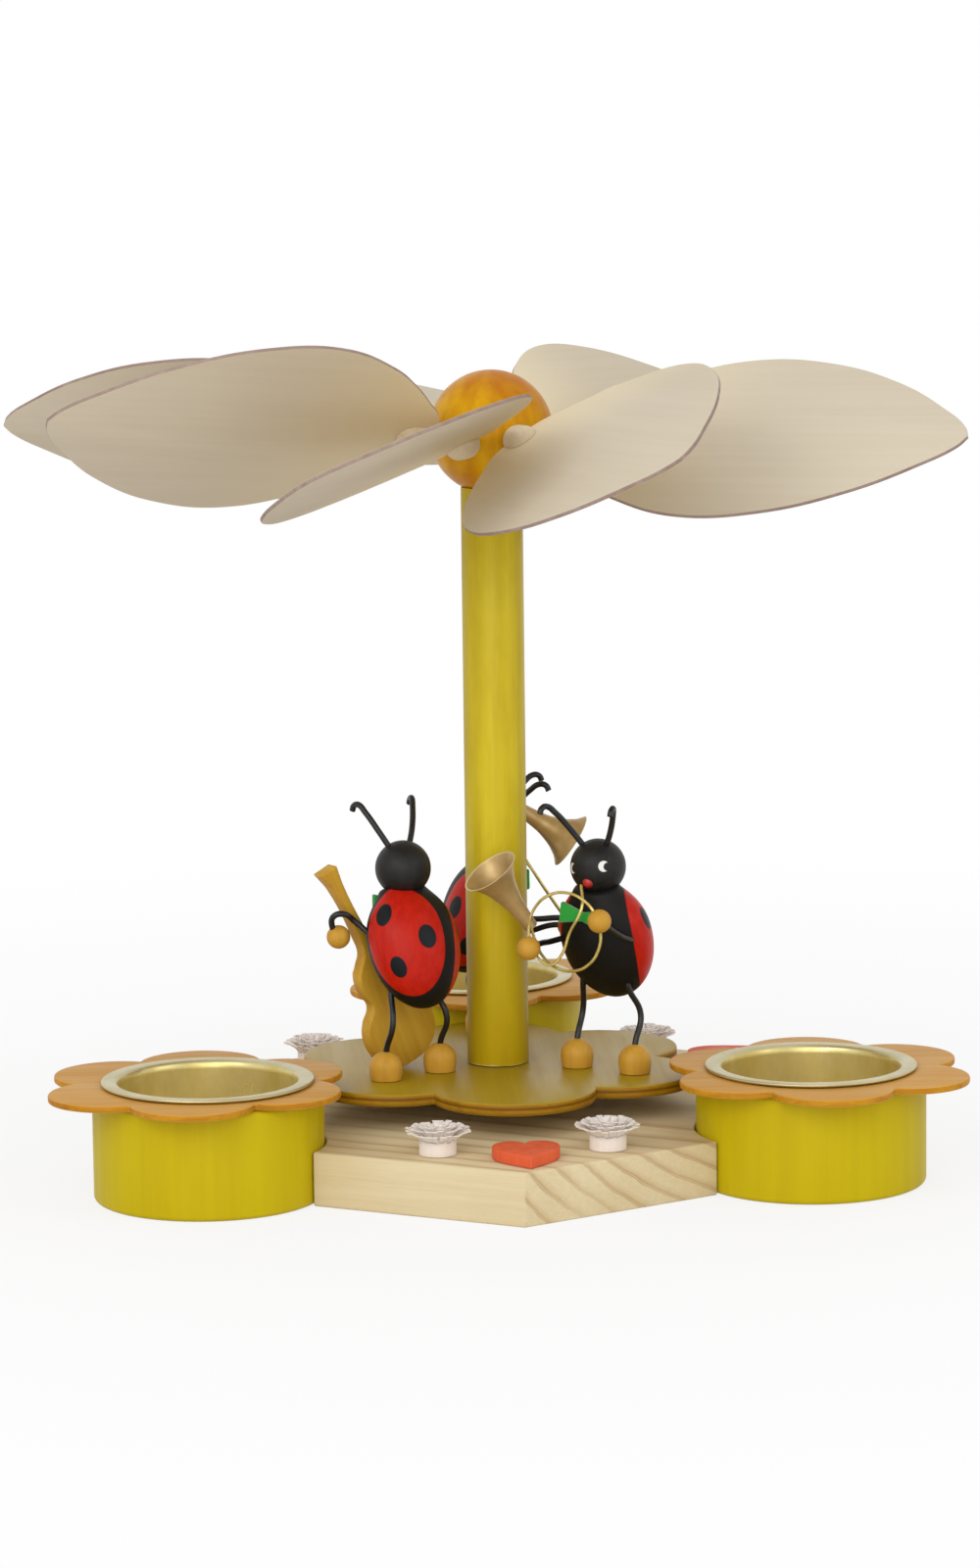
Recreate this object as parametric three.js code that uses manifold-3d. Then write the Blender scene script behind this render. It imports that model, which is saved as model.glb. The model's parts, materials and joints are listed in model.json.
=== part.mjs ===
// Candle carousel: a six-sided pine base with three turned candle holders, and a rotor that the warm
// air of the candles turns. The rotor hangs on a steel needle inside its hollow column, and carries a
// flower-shaped turntable with three ladybird musicians, a hub ball and nine veneer blades.
// Millimetres, +Z up. The origin is the middle of the base's underside, and -Y is the front corner.

import * as THREE from 'three';
import { mergeVertices } from 'three/addons/utils/BufferGeometryUtils.js';
import Module from 'manifold-3d';

const wasm = await Module();
wasm.setup();
const rad = THREE.MathUtils.degToRad;

// Fits
const glueGap = 0.15;
const fitGap = 0.3;
const cutOverrun = 2;

// Base
const baseCornerRadius = 78;
const baseThickness = 12.2;
const baseBevel = 0.5;

// Candle holders, their flower plates and the cups for tealights
const holderDiameter = 51.6;
const holderHeight = 24;
const holderBevel = 0.6;
const plateDiameter = 70.4;
const plateNotchLand = 6.556;
const plateThickness = 1.6;
const plateTurnDeg = [0, -4, -3];
const plateOffCentre = [[1.6, -0.7], [1.8, 0], [-2.5, 1.3]];
const petalCount = 6;
const cupMouthDiameter = 40;
const cupRimDiameter = 47.5;
const cupDepth = 15;
const cupWall = 0.6;
const cupRimHeight = 0.7;
const cupCornerRadius = 2;
const cupFloorGap = 0.8;

// Trim glued to the base
const trimInset = 18;
const trimSpreadDeg = 18.3;
const trimTurnDeg = 1.3;
const shavingStemDiameter = 8.2;
const shavingDiameter = 15;
const shavingHeight = 6.7;
const shavingCurls = 10;
const shavingWaveShare = 0.09;
const shavingTopShares = [[1, 0.8], [0.95, 0.9], [0.5, 1], [0.25, 0.7], [0, 0.7]];
const shavingNeckShare = 0.5;
const heartWidth = 15;
const heartLength = 17;
const heartThickness = 2.7;
const heartBevel = 0.4;
const heartTipInset = 2.7;
const heartSideShares = [[0.3, 0.2], [1, 0.4], [1, 0.7], [1, 1], [0.15, 1.12], [0, 0.84]];

// Needle and bearing
const needleDiameter = 3;
const needleTipLength = 5;
const needleSocketFloor = 2.2;
const bearingHeight = 7;
const bearingRecessDepth = 4.5;

// Turntable
const turntableLift = 5.8;
const turntableThickness = 2.8;
const turntableSideClearance = 4.6;
const turntableNotchShare = 0.775;
const turntableLobes = 6;
const guideClearance = 0.5;
const rotorTurnDeg = 2.8;

// Column and hub ball
const columnDiameter = 14.1;
const columnBore = 6.4;
const columnLength = 133.1;
const hubDiameter = 28.2;
const hubRoofHeight = 5;

// Blades, each a veneer leaf in a slit knob with a peg
const bladeCount = 9;
const bladeReach = 113.2;
const bladeWidth = 62;
const bladeThickness = 0.9;
const bladeDrop = 1.2;
const bladeFirstDeg = 248;
const bladeWanderDeg = [-1.2, -1.8, 4.9, 3.9, 2.9, 0, 0, -0.3, 0.3];
const bladePitchDeg = [26.4, 33.3, 29, 22, 35.8, 17, 21, 35, 37.5];
const bladeLiftDeg = [0.1, 1.8, 1.2, 0, -1.7, 0, 0, 1.4, 4.9];
const bladeLengthShares = [0, 0.015, 0.07, 0.14, 0.225, 0.4, 0.585, 0.772, 0.917, 0.985, 1];
const bladeWidthShares = [0.08, 0.22, 0.4, 0.6, 0.79, 1, 0.955, 0.7, 0.345, 0.115, 0];
const knobDiameter = 7;
const knobLength = 10.6;
const knobSlitShare = 0.15;
const pegDiameter = 2.4;
const pegSocketDepth = 6;

// Ladybird figures
const figurePlaceShares = [0.48252, 0.55245, 0.52448];
const figureTwistDeg = [0, -8, 0];
const legHeight = 15.6;
const torsoLength = 27.2;
const torsoWidth = 22.4;
const torsoDepth = 17.6;
const torsoBack = 1.5;
const torsoLeanDeg = 21;
const headDiameter = 12.7;
const headRise = 4.8;
const headForward = 2.8;
const wireDiameter = 1.4;
const footDiameter = 7.6;
const footHeight = 6.5;
const handDiameter = 5.4;
const bowWidth = 11.6;
const bowHeight = 5;
const bowThickness = 1.6;
const bowKnotShare = 0.4;
const bowForward = 8.7;
const bowDrop = 4.6;

// Instruments
const celloLength = 52.2;
const celloWidth = 18.4;
const celloThickness = 3.4;
const celloLeanDeg = 24.5;
const celloNeckDrift = 2;
const celloFootOut = 6.7;
const celloNearSide = 8.1;
const hornBellDiameter = 13.5;
const hornCoilDiameter = 17.6;
const hornCoilPitch = 2.2;
const tromboneBellDiameter = 13.4;
const tromboneBellLength = 13.9;
const bellThroatDiameter = 3.2;
const bellWall = 0.5;
const tubeDiameter = 1;

// Heights and radii that follow from the sizes above
const holderRadius = holderDiameter / 2;
const boreRadius = cupMouthDiameter / 2 + cupWall + fitGap;
const plateTop = holderHeight + glueGap + plateThickness;
const cupCrest = plateTop + fitGap + cupRimHeight;
const cupFloor = cupCrest - cupDepth;
const turntableRadius = baseCornerRadius - holderRadius - turntableSideClearance;
const trimCircleRadius = baseCornerRadius - trimInset;
const turntableBottom = baseThickness + turntableLift;
const turntableTop = turntableBottom + turntableThickness;
const columnBottom = turntableTop + glueGap;
const hubRadius = hubDiameter / 2;
const hubFlatDrop = Math.sqrt(hubRadius ** 2 - (columnDiameter / 2) ** 2);
const hubCentre = columnBottom + columnLength + glueGap + hubFlatDrop;
const bearingTop = hubCentre + hubRoofHeight - glueGap;
const needleTip = bearingTop - bearingHeight + bearingRecessDepth - fitGap;
const torsoMiddle = legHeight + torsoLength / 2;
const headHeight = legHeight + torsoLength + headRise;
const figureSpan = new THREE.Vector3(torsoWidth, torsoWidth, headHeight);
const figureRoom = baseCornerRadius - plateDiameter / 2 - columnDiameter / 2;

function look(color, roughness, metalness = 0) {
  return new THREE.MeshStandardMaterial({ color, roughness, metalness });
}

const pine = look(0xdfc89c, 0.6);
const greenWood = look(0xb9a41e, 0.4);
const oliveWood = look(0x96822a, 0.45);
const orangeWood = look(0xcd9b4b, 0.5);
const amberWood = look(0xd09a14, 0.35);
const veneer = look(0xc8b896, 0.6);
const goldenMetal = look(0xcdb26a, 0.25, 1);
const steel = look(0x9a9a9c, 0.3, 1);
const whiteShaving = look(0xece2d6, 0.8);
const redPaint = look(0xcd2819, 0.4);
const blackPaint = look(0x1e1c1a, 0.5);
const greenFelt = look(0x2fa03c, 0.9);
const ochreWood = look(0xcd963c, 0.5);
const goldPaint = look(0xa88a4a, 0.4, 0.6);

// A closed geometry as a solid: shared corners merged, and triangles that a pole collapsed left out
function solidOf(geometry) {
  const bare = geometry.clone();
  bare.deleteAttribute('normal');
  bare.deleteAttribute('uv');
  const merged = mergeVertices(bare);
  const index = merged.index.array;
  const kept = [];
  for (let i = 0; i < index.length; i += 3) {
    const [a, b, c] = [index[i], index[i + 1], index[i + 2]];
    if (a !== b && b !== c && c !== a) kept.push(a, b, c);
  }
  const vertProperties = new Float32Array(merged.attributes.position.array);
  return new wasm.Manifold(new wasm.Mesh({ numProp: 3, vertProperties, triVerts: new Uint32Array(kept) }));
}

function meshOf(name, solid, material) {
  const { vertProperties, triVerts } = solid.getMesh();
  const geometry = new THREE.BufferGeometry();
  geometry.setAttribute('position', new THREE.BufferAttribute(vertProperties, 3));
  geometry.setIndex(new THREE.BufferAttribute(triVerts, 1));
  geometry.computeVertexNormals();
  const mesh = new THREE.Mesh(geometry, material);
  mesh.name = name;
  return mesh;
}

// A turned piece about Z from [radius, height] pairs that run up its outside
function turned(profile, segments) {
  const points = profile.map(([r, z]) => new THREE.Vector2(r, z));
  return new THREE.LatheGeometry(points, segments).rotateX(Math.PI / 2);
}

// A ball about the origin, cut flat below its middle where a drop is given
function ball(radius, segments, rings, drop = radius) {
  const start = -Math.asin(drop / radius);
  const profile = drop < radius ? [[0, -drop]] : [];
  for (let i = 0; i <= rings; i++) {
    const angle = start + (Math.PI / 2 - start) * (i / rings);
    profile.push([radius * Math.max(Math.cos(angle), 0), radius * Math.sin(angle)]);
  }
  profile[0][0] = 0;
  profile[profile.length - 1][0] = 0;
  return turned(profile, segments);
}

// A flat piece from an outline, its underside at z = 0
function flat(shape, thickness, bevel = 0, curveSegments = 12) {
  const geometry = new THREE.ExtrudeGeometry(shape, {
    depth: thickness - 2 * bevel, curveSegments, bevelEnabled: bevel > 0,
    bevelThickness: bevel, bevelSize: bevel, bevelOffset: -bevel, bevelSegments: 1,
  });
  return geometry.translate(0, 0, bevel);
}

// A round bar along a curve
function bar(curve, diameter, steps, sides = 6) {
  const section = new THREE.Shape();
  for (let i = 0; i < sides; i++) {
    const angle = (2 * Math.PI * i) / sides;
    const point = [diameter / 2 * Math.cos(angle), diameter / 2 * Math.sin(angle)];
    if (i === 0) section.moveTo(...point);
    else section.lineTo(...point);
  }
  section.closePath();
  return solidOf(new THREE.ExtrudeGeometry(section, { steps, extrudePath: curve, bevelEnabled: false }));
}

function rod(radius, from, to, segments = 12) {
  return turned([[0, from], [radius, from], [radius, to], [0, to]], segments);
}

// Points given as shares of a span
function pointsAt(shares, span) {
  return shares.map(([x, y, z]) => new THREE.Vector3(x, y, z).multiply(span));
}

// A flower outline whose round lobes meet in notches; radius is its reach, notch the distance to a notch
function flowerShape(lobes, radius, notch, turn = 0, [x, y] = [0, 0]) {
  const half = Math.PI / lobes;
  const middle = (radius ** 2 - notch ** 2) / (2 * (radius - notch * Math.cos(half)));
  const sweep = Math.atan2(notch * Math.sin(half), notch * Math.cos(half) - middle);
  const shape = new THREE.Shape();
  for (let i = 0; i < lobes; i++) {
    const lobe = 2 * half * i - Math.PI / 2 + turn;
    const [lobeX, lobeY] = [x + middle * Math.cos(lobe), y + middle * Math.sin(lobe)];
    shape.absarc(lobeX, lobeY, radius - middle, lobe - sweep, lobe + sweep);
  }
  return shape;
}

// A round hole in four arcs, which keeps it finer than one arc would
function roundHole(radius) {
  const hole = new THREE.Path();
  for (let quarter = 0; quarter < 4; quarter++) {
    hole.absarc(0, 0, radius, -quarter * Math.PI / 2, -(quarter + 1) * Math.PI / 2, true);
  }
  return hole;
}

// The base is a hexagon, and every other corner is hollowed to seat a candle holder
function basePlate() {
  const seat = holderRadius + fitGap;
  const shape = new THREE.Shape();
  for (let pair = 0; pair < 3; pair++) {
    const held = rad(330 + 120 * pair);
    const [x, y] = [baseCornerRadius * Math.cos(held), baseCornerRadius * Math.sin(held)];
    shape.absarc(x, y, seat, held + rad(240), held + rad(120), true);
    const free = held + rad(60);
    shape.lineTo(baseCornerRadius * Math.cos(free), baseCornerRadius * Math.sin(free));
  }
  shape.closePath();
  const plate = solidOf(flat(shape, baseThickness, baseBevel, 8));
  const socketRadius = needleDiameter / 2 + fitGap;
  const socket = solidOf(rod(socketRadius, needleSocketFloor, baseThickness + cutOverrun));
  return plate.subtract(socket);
}

function candleHolder() {
  const floor = cupFloor - cupWall - cupFloorGap;
  return solidOf(turned([
    [0, 0], [holderRadius - holderBevel, 0], [holderRadius, holderBevel],
    [holderRadius, holderHeight - holderBevel], [holderRadius - holderBevel, holderHeight],
    [boreRadius, holderHeight], [boreRadius, floor], [0, floor],
  ], 44));
}

// The plate is glued on by hand, a little off the middle, and bored together with its holder
function flowerPlate(index) {
  const turn = rad(plateTurnDeg[index]);
  const notch = boreRadius + plateNotchLand;
  const shape = flowerShape(petalCount, plateDiameter / 2, notch, turn, plateOffCentre[index]);
  shape.holes.push(roundHole(boreRadius));
  return solidOf(flat(shape, plateThickness, 0, 5));
}

// The pressed cup hangs in the bore by its rounded rim
function tealightCup() {
  const inner = cupMouthDiameter / 2;
  const outer = inner + cupWall;
  const rim = cupRimDiameter / 2;
  const seat = plateTop + fitGap;
  const crown = (inner + rim) / 2;
  return solidOf(turned([
    [0, cupFloor - cupWall], [outer - cupCornerRadius, cupFloor - cupWall],
    [outer, cupFloor + cupCornerRadius], [outer, seat], [rim, seat], [rim, seat + cupRimHeight / 3],
    [(rim + crown) / 2, cupCrest - cupRimHeight / 5], [crown, cupCrest],
    [(inner + crown) / 2, cupCrest - cupRimHeight / 4], [inner, seat],
    [inner, cupFloor + cupCornerRadius], [inner - cupCornerRadius, cupFloor], [0, cupFloor],
  ], 28));
}

// Wood cut into curls that stand out from a round stem
function shavingFlower() {
  const stem = shavingStemDiameter / 2;
  const curl = shavingDiameter / 2;
  const geometry = turned([
    [0, 0], [stem, 0], [stem, shavingHeight * shavingNeckShare],
    ...shavingTopShares.map(([wide, high]) => [curl * wide, shavingHeight * high]),
  ], 2 * shavingCurls);
  const places = geometry.attributes.position;
  for (let i = 0; i < places.count; i++) {
    const [x, y] = [places.getX(i), places.getY(i)];
    if (Math.hypot(x, y) > (stem + curl) / 2) {
      const wave = 1 + shavingWaveShare * (Math.cos(shavingCurls * Math.atan2(y, x)) - 1);
      places.setXY(i, x * wave, y * wave);
    }
  }
  return solidOf(geometry);
}

// A heart with its point at the origin, pointing along -Y
function heart() {
  const right = heartSideShares.map(([wide, long]) => [heartWidth / 2 * wide, heartLength * long]);
  const left = right.map(([x, y]) => [-x, y]).reverse();
  const shape = new THREE.Shape();
  shape.moveTo(0, 0);
  shape.bezierCurveTo(...right[0], ...right[1], ...right[2]);
  shape.bezierCurveTo(...right[3], ...right[4], ...right[5]);
  shape.bezierCurveTo(...left[1], ...left[2], ...left[3]);
  shape.bezierCurveTo(...left[4], ...left[5], 0, 0);
  return solidOf(flat(shape, heartThickness, heartBevel, 6));
}

function pivotNeedle() {
  const radius = needleDiameter / 2;
  const shoulder = needleTip - needleTipLength;
  const foot = needleSocketFloor + fitGap;
  return solidOf(turned([[0, foot], [radius, foot], [radius, shoulder], [0, needleTip]], 16));
}

function bearingCup() {
  const radius = columnBore / 2 - glueGap;
  const bottom = bearingTop - bearingHeight;
  const mouth = needleDiameter / 2 + fitGap;
  return solidOf(turned([
    [0, bottom + bearingRecessDepth], [mouth, bottom], [radius, bottom],
    [radius, bearingTop], [0, bearingTop],
  ], 16));
}

// The turntable's hole runs round the needle and keeps the rotor upright
function turntable() {
  const shape = flowerShape(turntableLobes, turntableRadius, turntableRadius * turntableNotchShare);
  shape.holes.push(new THREE.Path().absarc(0, 0, needleDiameter / 2 + guideClearance, 0, 2 * Math.PI, true));
  return solidOf(flat(shape, turntableThickness, 0, 8));
}

function column() {
  const [outer, bore, top] = [columnDiameter / 2, columnBore / 2, columnBottom + columnLength];
  return solidOf(turned([[bore, columnBottom], [outer, columnBottom], [outer, top], [bore, top],
    [bore, columnBottom]], 32));
}

// Turns a piece that lies along +X to a blade's place about the hub's middle
function bladeTurn(index) {
  const spin = rad(bladeFirstDeg + (360 / bladeCount) * index + bladeWanderDeg[index]);
  const euler = new THREE.Euler(rad(bladePitchDeg[index]), -rad(bladeLiftDeg[index]), spin, 'ZYX');
  return new THREE.Matrix4().makeRotationFromEuler(euler);
}

// The ball is flat where it stands on the column, bored for the bearing and drilled for the pegs
function hubBall() {
  let hub = solidOf(ball(hubRadius, 24, 13, hubFlatDrop));
  hub = hub.subtract(solidOf(rod(columnBore / 2, -hubRadius - cutOverrun, hubRoofHeight, 16)));
  const drill = rod(pegDiameter / 2 + fitGap, hubRadius - pegSocketDepth - fitGap, hubRadius + cutOverrun, 8);
  drill.rotateY(Math.PI / 2);
  for (let i = 0; i < bladeCount; i++) {
    hub = hub.subtract(solidOf(drill.clone().applyMatrix4(bladeTurn(i)).translate(0, 0, -bladeDrop)));
  }
  return hub;
}

// The veneer leaf stands in a knob, whose peg turns stiffly in the hub
function blade() {
  const knobStart = hubRadius + fitGap;
  const root = knobStart + knobLength * knobSlitShare;
  const right = [];
  for (let i = 0; i < bladeLengthShares.length; i++) {
    const along = root + (bladeReach - root) * bladeLengthShares[i];
    right.push(new THREE.Vector2(along, -bladeWidth / 2 * bladeWidthShares[i]));
  }
  const left = right.map((point) => new THREE.Vector2(point.x, -point.y)).reverse();
  const shape = new THREE.Shape();
  shape.moveTo(right[0].x, right[0].y);
  shape.splineThru(right.slice(1));
  shape.splineThru(left.slice(1));
  shape.closePath();
  const leaf = solidOf(flat(shape, bladeThickness, 0, 2).translate(0, 0, -bladeThickness / 2));
  const knobRadius = knobDiameter / 2;
  const knob = solidOf(new THREE.CapsuleGeometry(knobRadius, knobLength - knobDiameter, 3, 12)
    .rotateZ(Math.PI / 2)
    .translate(knobStart + knobLength / 2, 0, 0));
  const peg = solidOf(rod(pegDiameter / 2, hubRadius - pegSocketDepth, knobStart + knobRadius, 8)
    .rotateY(Math.PI / 2));
  return leaf.add(knob).add(peg);
}

const torsoProfileShares = [
  [0, -1], [0.3, -0.95], [0.55, -0.81], [0.77, -0.59], [0.93, -0.31], [1, 0], [1, 0.31],
  [0.93, 0.56], [0.78, 0.78], [0.62, 0.93], [0.52, 1.03], [0.47, 1.12], [0, 1.12],
];

// The torso is an egg with a broad neck and leans forward; grow widens it all round to cut its neighbours
function torsoEgg(grow = 0) {
  return solidOf(turned(torsoProfileShares, 16)
    .scale(torsoWidth / 2 + grow, torsoDepth / 2 + grow, torsoLength / 2 + grow)
    .rotateX(-rad(torsoLeanDeg))
    .translate(0, -torsoBack, torsoMiddle));
}

function headBall(grow = 0) {
  return solidOf(ball(headDiameter / 2 + grow, 14, 8).translate(0, headForward, headHeight));
}

// The torso's crown is hollowed to seat the head
function torso() {
  return torsoEgg().subtract(headBall(fitGap));
}

const feelerShares = [
  [0.107, 0.179, 1.09], [0.205, 0.268, 1.175], [0.295, 0.402, 1.265],
  [0.335, 0.49, 1.3], [0.352, 0.55, 1.292], [0.356, 0.575, 1.268],
];
const feelerSwayShares = [0.006, 0.018, 0.036, 0.05, 0.055, 0.057];

// The head has two hooked feelers of wire that sway to its right, each bent forward by its own share
function head(feelerReachShares) {
  let solid = headBall();
  for (const [side, reach] of [[-1, feelerReachShares[0]], [1, feelerReachShares[1]]]) {
    const curve = new THREE.CatmullRomCurve3(pointsAt(feelerShares, figureSpan));
    curve.points.forEach((point, i) => {
      point.x = point.x * side + figureSpan.x * feelerSwayShares[i];
      point.y = headForward + (point.y - headForward) * reach;
    });
    solid = solid.add(bar(curve, wireDiameter, 9, 4));
  }
  return solid;
}

function bowTie() {
  const [half, tall, knot] = [bowWidth / 2, bowHeight / 2, bowHeight / 2 * bowKnotShare];
  const shape = new THREE.Shape();
  shape.moveTo(-half, -tall);
  shape.lineTo(0, -knot);
  shape.lineTo(half, -tall);
  shape.lineTo(half, tall);
  shape.lineTo(0, knot);
  shape.lineTo(-half, tall);
  shape.closePath();
  const solid = solidOf(flat(shape, bowThickness).rotateX(Math.PI / 2)
    .translate(0, bowForward + bowThickness, legHeight + torsoLength - bowDrop));
  return solid.subtract(torsoEgg(fitGap));
}

const legShares = [[0.26, 0, 0.43], [0.34, -0.13, 0.273], [0.34, -0.01, 0.14], [0.34, 0, 0.06]];

// A leg is a bent wire with a wooden bead for a foot
function leg(side) {
  const curve = new THREE.CatmullRomCurve3(pointsAt(legShares, figureSpan)
    .map((point) => point.setX(point.x * side)));
  const end = curve.getPoint(1);
  const radius = footDiameter / 2;
  const foot = solidOf(ball(radius, 12, 5, footHeight - radius)
    .translate(end.x, end.y, footHeight - radius + glueGap));
  return bar(curve, wireDiameter, 7, 5).subtract(torsoEgg(fitGap)).add(foot);
}

// An arm is a bent wire with a wooden bead for a hand
function arm(shares) {
  const curve = new THREE.CatmullRomCurve3(pointsAt(shares, figureSpan));
  const end = curve.getPoint(1);
  const hand = solidOf(ball(handDiameter / 2, 10, 6).translate(end.x, end.y, end.z));
  return bar(curve, wireDiameter, 9, 5).subtract(torsoEgg(fitGap)).add(hand);
}

const celloOutlineShares = [
  [0, 0], [0.38, 0.008], [0.78, 0.05], [0.98, 0.13], [0.99, 0.21], [0.8, 0.275], [0.58, 0.31],
  [0.52, 0.34], [0.58, 0.38], [0.62, 0.43], [0.56, 0.485], [0.36, 0.53], [0.19, 0.565],
  [0.15, 0.64], [0.15, 0.9], [0.21, 0.96], [0.26, 1],
];

// The cello is sawn from board and stands on its tail, leaning outwards, its neck bent a little
function cello() {
  const right = [];
  const left = [];
  for (const [wide, long] of celloOutlineShares) {
    const drift = celloNeckDrift * Math.max(2 * long - 1, 0) ** 2;
    right.push(new THREE.Vector2(celloWidth / 2 * wide - drift, celloLength * long));
    left.unshift(new THREE.Vector2(-celloWidth / 2 * wide - drift, celloLength * long));
  }
  const shape = new THREE.Shape([...right, ...left.slice(0, -1)]);
  const board = flat(shape, celloThickness).rotateX(Math.PI / 2).rotateY(-rad(celloLeanDeg));
  board.computeBoundingBox();
  const rise = fitGap - board.boundingBox.min.z;
  return solidOf(board.translate(celloFootOut, celloNearSide + celloThickness, rise));
}

const bellFlareShares = [[0, 0], [0.06, 0.25], [0.18, 0.5], [0.42, 0.74], [0.7, 0.9], [1, 1]];
const bellStopShare = 0.2;

// A bell that widens from its start to its mouth, its throat stopped by the pipe
function bell(start, end, mouthDiameter) {
  const along = new THREE.Vector3().subVectors(end, start);
  const [throat, mouth] = [bellThroatDiameter / 2, mouthDiameter / 2];
  const length = along.length();
  const outside = bellFlareShares.map(([wide, far]) => [throat + (mouth - throat) * wide, length * far]);
  const inside = outside.slice(1).reverse().map(([radius, height]) => [radius - bellWall, height]);
  const geometry = turned([[0, 0], ...outside, ...inside, [0, length * bellStopShare]], 14);
  const turn = new THREE.Quaternion().setFromUnitVectors(new THREE.Vector3(0, 0, 1), along.normalize());
  return solidOf(geometry.applyQuaternion(turn).translate(start.x, start.y, start.z));
}

const hornPipeShares = [
  [0.045, 0.39, 0.926], [-0.04, 0.53, 0.83], [0.1, 0.536, 0.705], [0.2, 0.56, 0.585], [0.29, 0.6, 0.547],
];
const hornCoilShare = [0.13, 0.571, 0.7];
const hornBellShares = [[0.555, 0.534, 0.717], [0.806, 0.911, 1.003]];

// The horn's pipe runs from the lips once round its coil and into the bell
function horn() {
  const [middle] = pointsAt([hornCoilShare], figureSpan);
  const [throat, mouth] = pointsAt(hornBellShares, figureSpan);
  const points = pointsAt(hornPipeShares, figureSpan);
  const coilRadius = hornCoilDiameter / 2;
  const [from, sweep, stops] = [rad(-47), rad(390), 14];
  for (let i = 0; i <= stops; i++) {
    const angle = from + (sweep * i) / stops;
    const [x, z] = [coilRadius * Math.cos(angle), coilRadius * Math.sin(angle)];
    points.push(new THREE.Vector3(x, hornCoilPitch * (0.5 - i / stops), z).add(middle));
  }
  points.push(throat);
  const pipe = bar(new THREE.CatmullRomCurve3(points), tubeDiameter, 44, 5);
  return pipe.add(bell(throat, mouth, hornBellDiameter));
}

const slideShares = [
  [0, 0.4, 0.936], [0, 0.66, 0.74], [0, 0.93, 0.55], [0.06, 0.965, 0.524], [0.13, 0.93, 0.55],
  [0.2, 0.66, 0.74], [0.29, 0.45, 0.89], [0.37, 0.16, 1.06], [0.375, 0.09, 1.16], [0.34, 0.21, 1.215],
  [0.31, 0.37, 1.17],
];
const tromboneAimShare = [0, 0.83, -0.55];

// The trombone's slide runs down from the lips and back past the head to the bell
function trombone() {
  const points = pointsAt(slideShares, figureSpan);
  const throat = points[points.length - 1];
  const aim = new THREE.Vector3(...tromboneAimShare).normalize();
  const mouth = aim.multiplyScalar(tromboneBellLength).add(throat);
  const pipe = bar(new THREE.CatmullRomCurve3(points), tubeDiameter, 32, 5);
  return pipe.add(bell(throat, mouth, tromboneBellDiameter));
}

const musicians = [
  {
    name: 'cellist', azimuthDeg: 210, instrument: cello, finish: ochreWood,
    feelerReachShares: [1, 1],
    leftArmShares: [[-0.38, 0.09, 0.683], [-0.487, 0.277, 0.754], [-0.612, 0.306, 0.798],
      [-0.7, 0.36, 0.79], [-0.7, 0.4, 0.746], [-0.62, 0.4, 0.683]],
    rightArmShares: [[0.38, 0.09, 0.683], [0.42, 0.357, 0.609], [0.29, 0.56, 0.525], [0.134, 0.66, 0.473]],
  },
  {
    name: 'horn_player', azimuthDeg: 330, instrument: horn, finish: goldPaint,
    feelerReachShares: [0.5, 1],
    leftArmShares: [[-0.38, 0.06, 0.65], [-0.4, 0.357, 0.693], [-0.36, 0.57, 0.75], [-0.342, 0.7, 0.79]],
    rightArmShares: [[0.335, 0.18, 0.647], [0.43, 0.38, 0.637], [0.42, 0.57, 0.644], [0.446, 0.768, 0.634]],
  },
  {
    name: 'trombonist', azimuthDeg: 90, instrument: trombone, finish: goldPaint,
    feelerReachShares: [1.25, 1.2],
    leftArmShares: [[-0.38, 0.045, 0.567], [-0.27, 0.446, 0.515], [-0.19, 0.76, 0.55], [-0.165, 0.92, 0.546]],
    rightArmShares: [[0.38, 0.09, 0.672], [0.4, 0.446, 0.634], [0.35, 0.76, 0.63], [0.326, 0.93, 0.618]],
  },
];

// Each musician stands on a lobe between the column and the flower plates, and faces along the rotor's
// clockwise path
function addMusician(deck, musician, index) {
  const figure = new THREE.Group();
  const azimuth = rad(musician.azimuthDeg);
  const reach = columnDiameter / 2 + figureRoom * figurePlaceShares[index];
  figure.position.set(reach * Math.cos(azimuth), reach * Math.sin(azimuth), turntableTop);
  figure.rotation.z = azimuth - Math.PI + rad(figureTwistDeg[index]);
  const pieces = [
    ['torso', torso(), redPaint],
    ['head', head(musician.feelerReachShares), blackPaint],
    ['bow_tie', bowTie(), greenFelt],
    ['leg_left', leg(-1), blackPaint], ['leg_right', leg(1), blackPaint],
    ['arm_left', arm(musician.leftArmShares), blackPaint],
    ['arm_right', arm(musician.rightArmShares), blackPaint],
    ['instrument', musician.instrument(), musician.finish],
  ];
  for (const [name, solid, finish] of pieces) figure.add(meshOf(`${musician.name}_${name}`, solid, finish));
  deck.add(figure);
}

function addHolder(group, index) {
  const azimuth = rad(330 + 120 * index);
  const place = new THREE.Group();
  place.position.set(baseCornerRadius * Math.cos(azimuth), baseCornerRadius * Math.sin(azimuth), 0);
  const plate = meshOf(`flower_plate_${index + 1}`, flowerPlate(index), orangeWood);
  plate.position.z = holderHeight + glueGap;
  place.add(meshOf(`candle_holder_${index + 1}`, candleHolder(), greenWood));
  place.add(plate);
  place.add(meshOf(`tealight_cup_${index + 1}`, tealightCup(), goldenMetal));
  group.add(place);
}

// Each free corner of the base has a heart between two shaving flowers
function addTrim(group, index) {
  const corner = new THREE.Group();
  corner.rotation.z = rad(120 * index + trimTurnDeg);
  corner.position.z = baseThickness + glueGap;
  const tip = meshOf(`heart_${index + 1}`, heart(), redPaint);
  tip.position.y = heartTipInset - baseCornerRadius;
  corner.add(tip);
  for (const [letter, side] of [['a', -1], ['b', 1]]) {
    const flower = meshOf(`shaving_flower_${index + 1}${letter}`, shavingFlower(), whiteShaving);
    const spread = rad(trimSpreadDeg) * side;
    flower.position.set(trimCircleRadius * Math.sin(spread), -trimCircleRadius * Math.cos(spread), 0);
    corner.add(flower);
  }
  group.add(corner);
}

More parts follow.
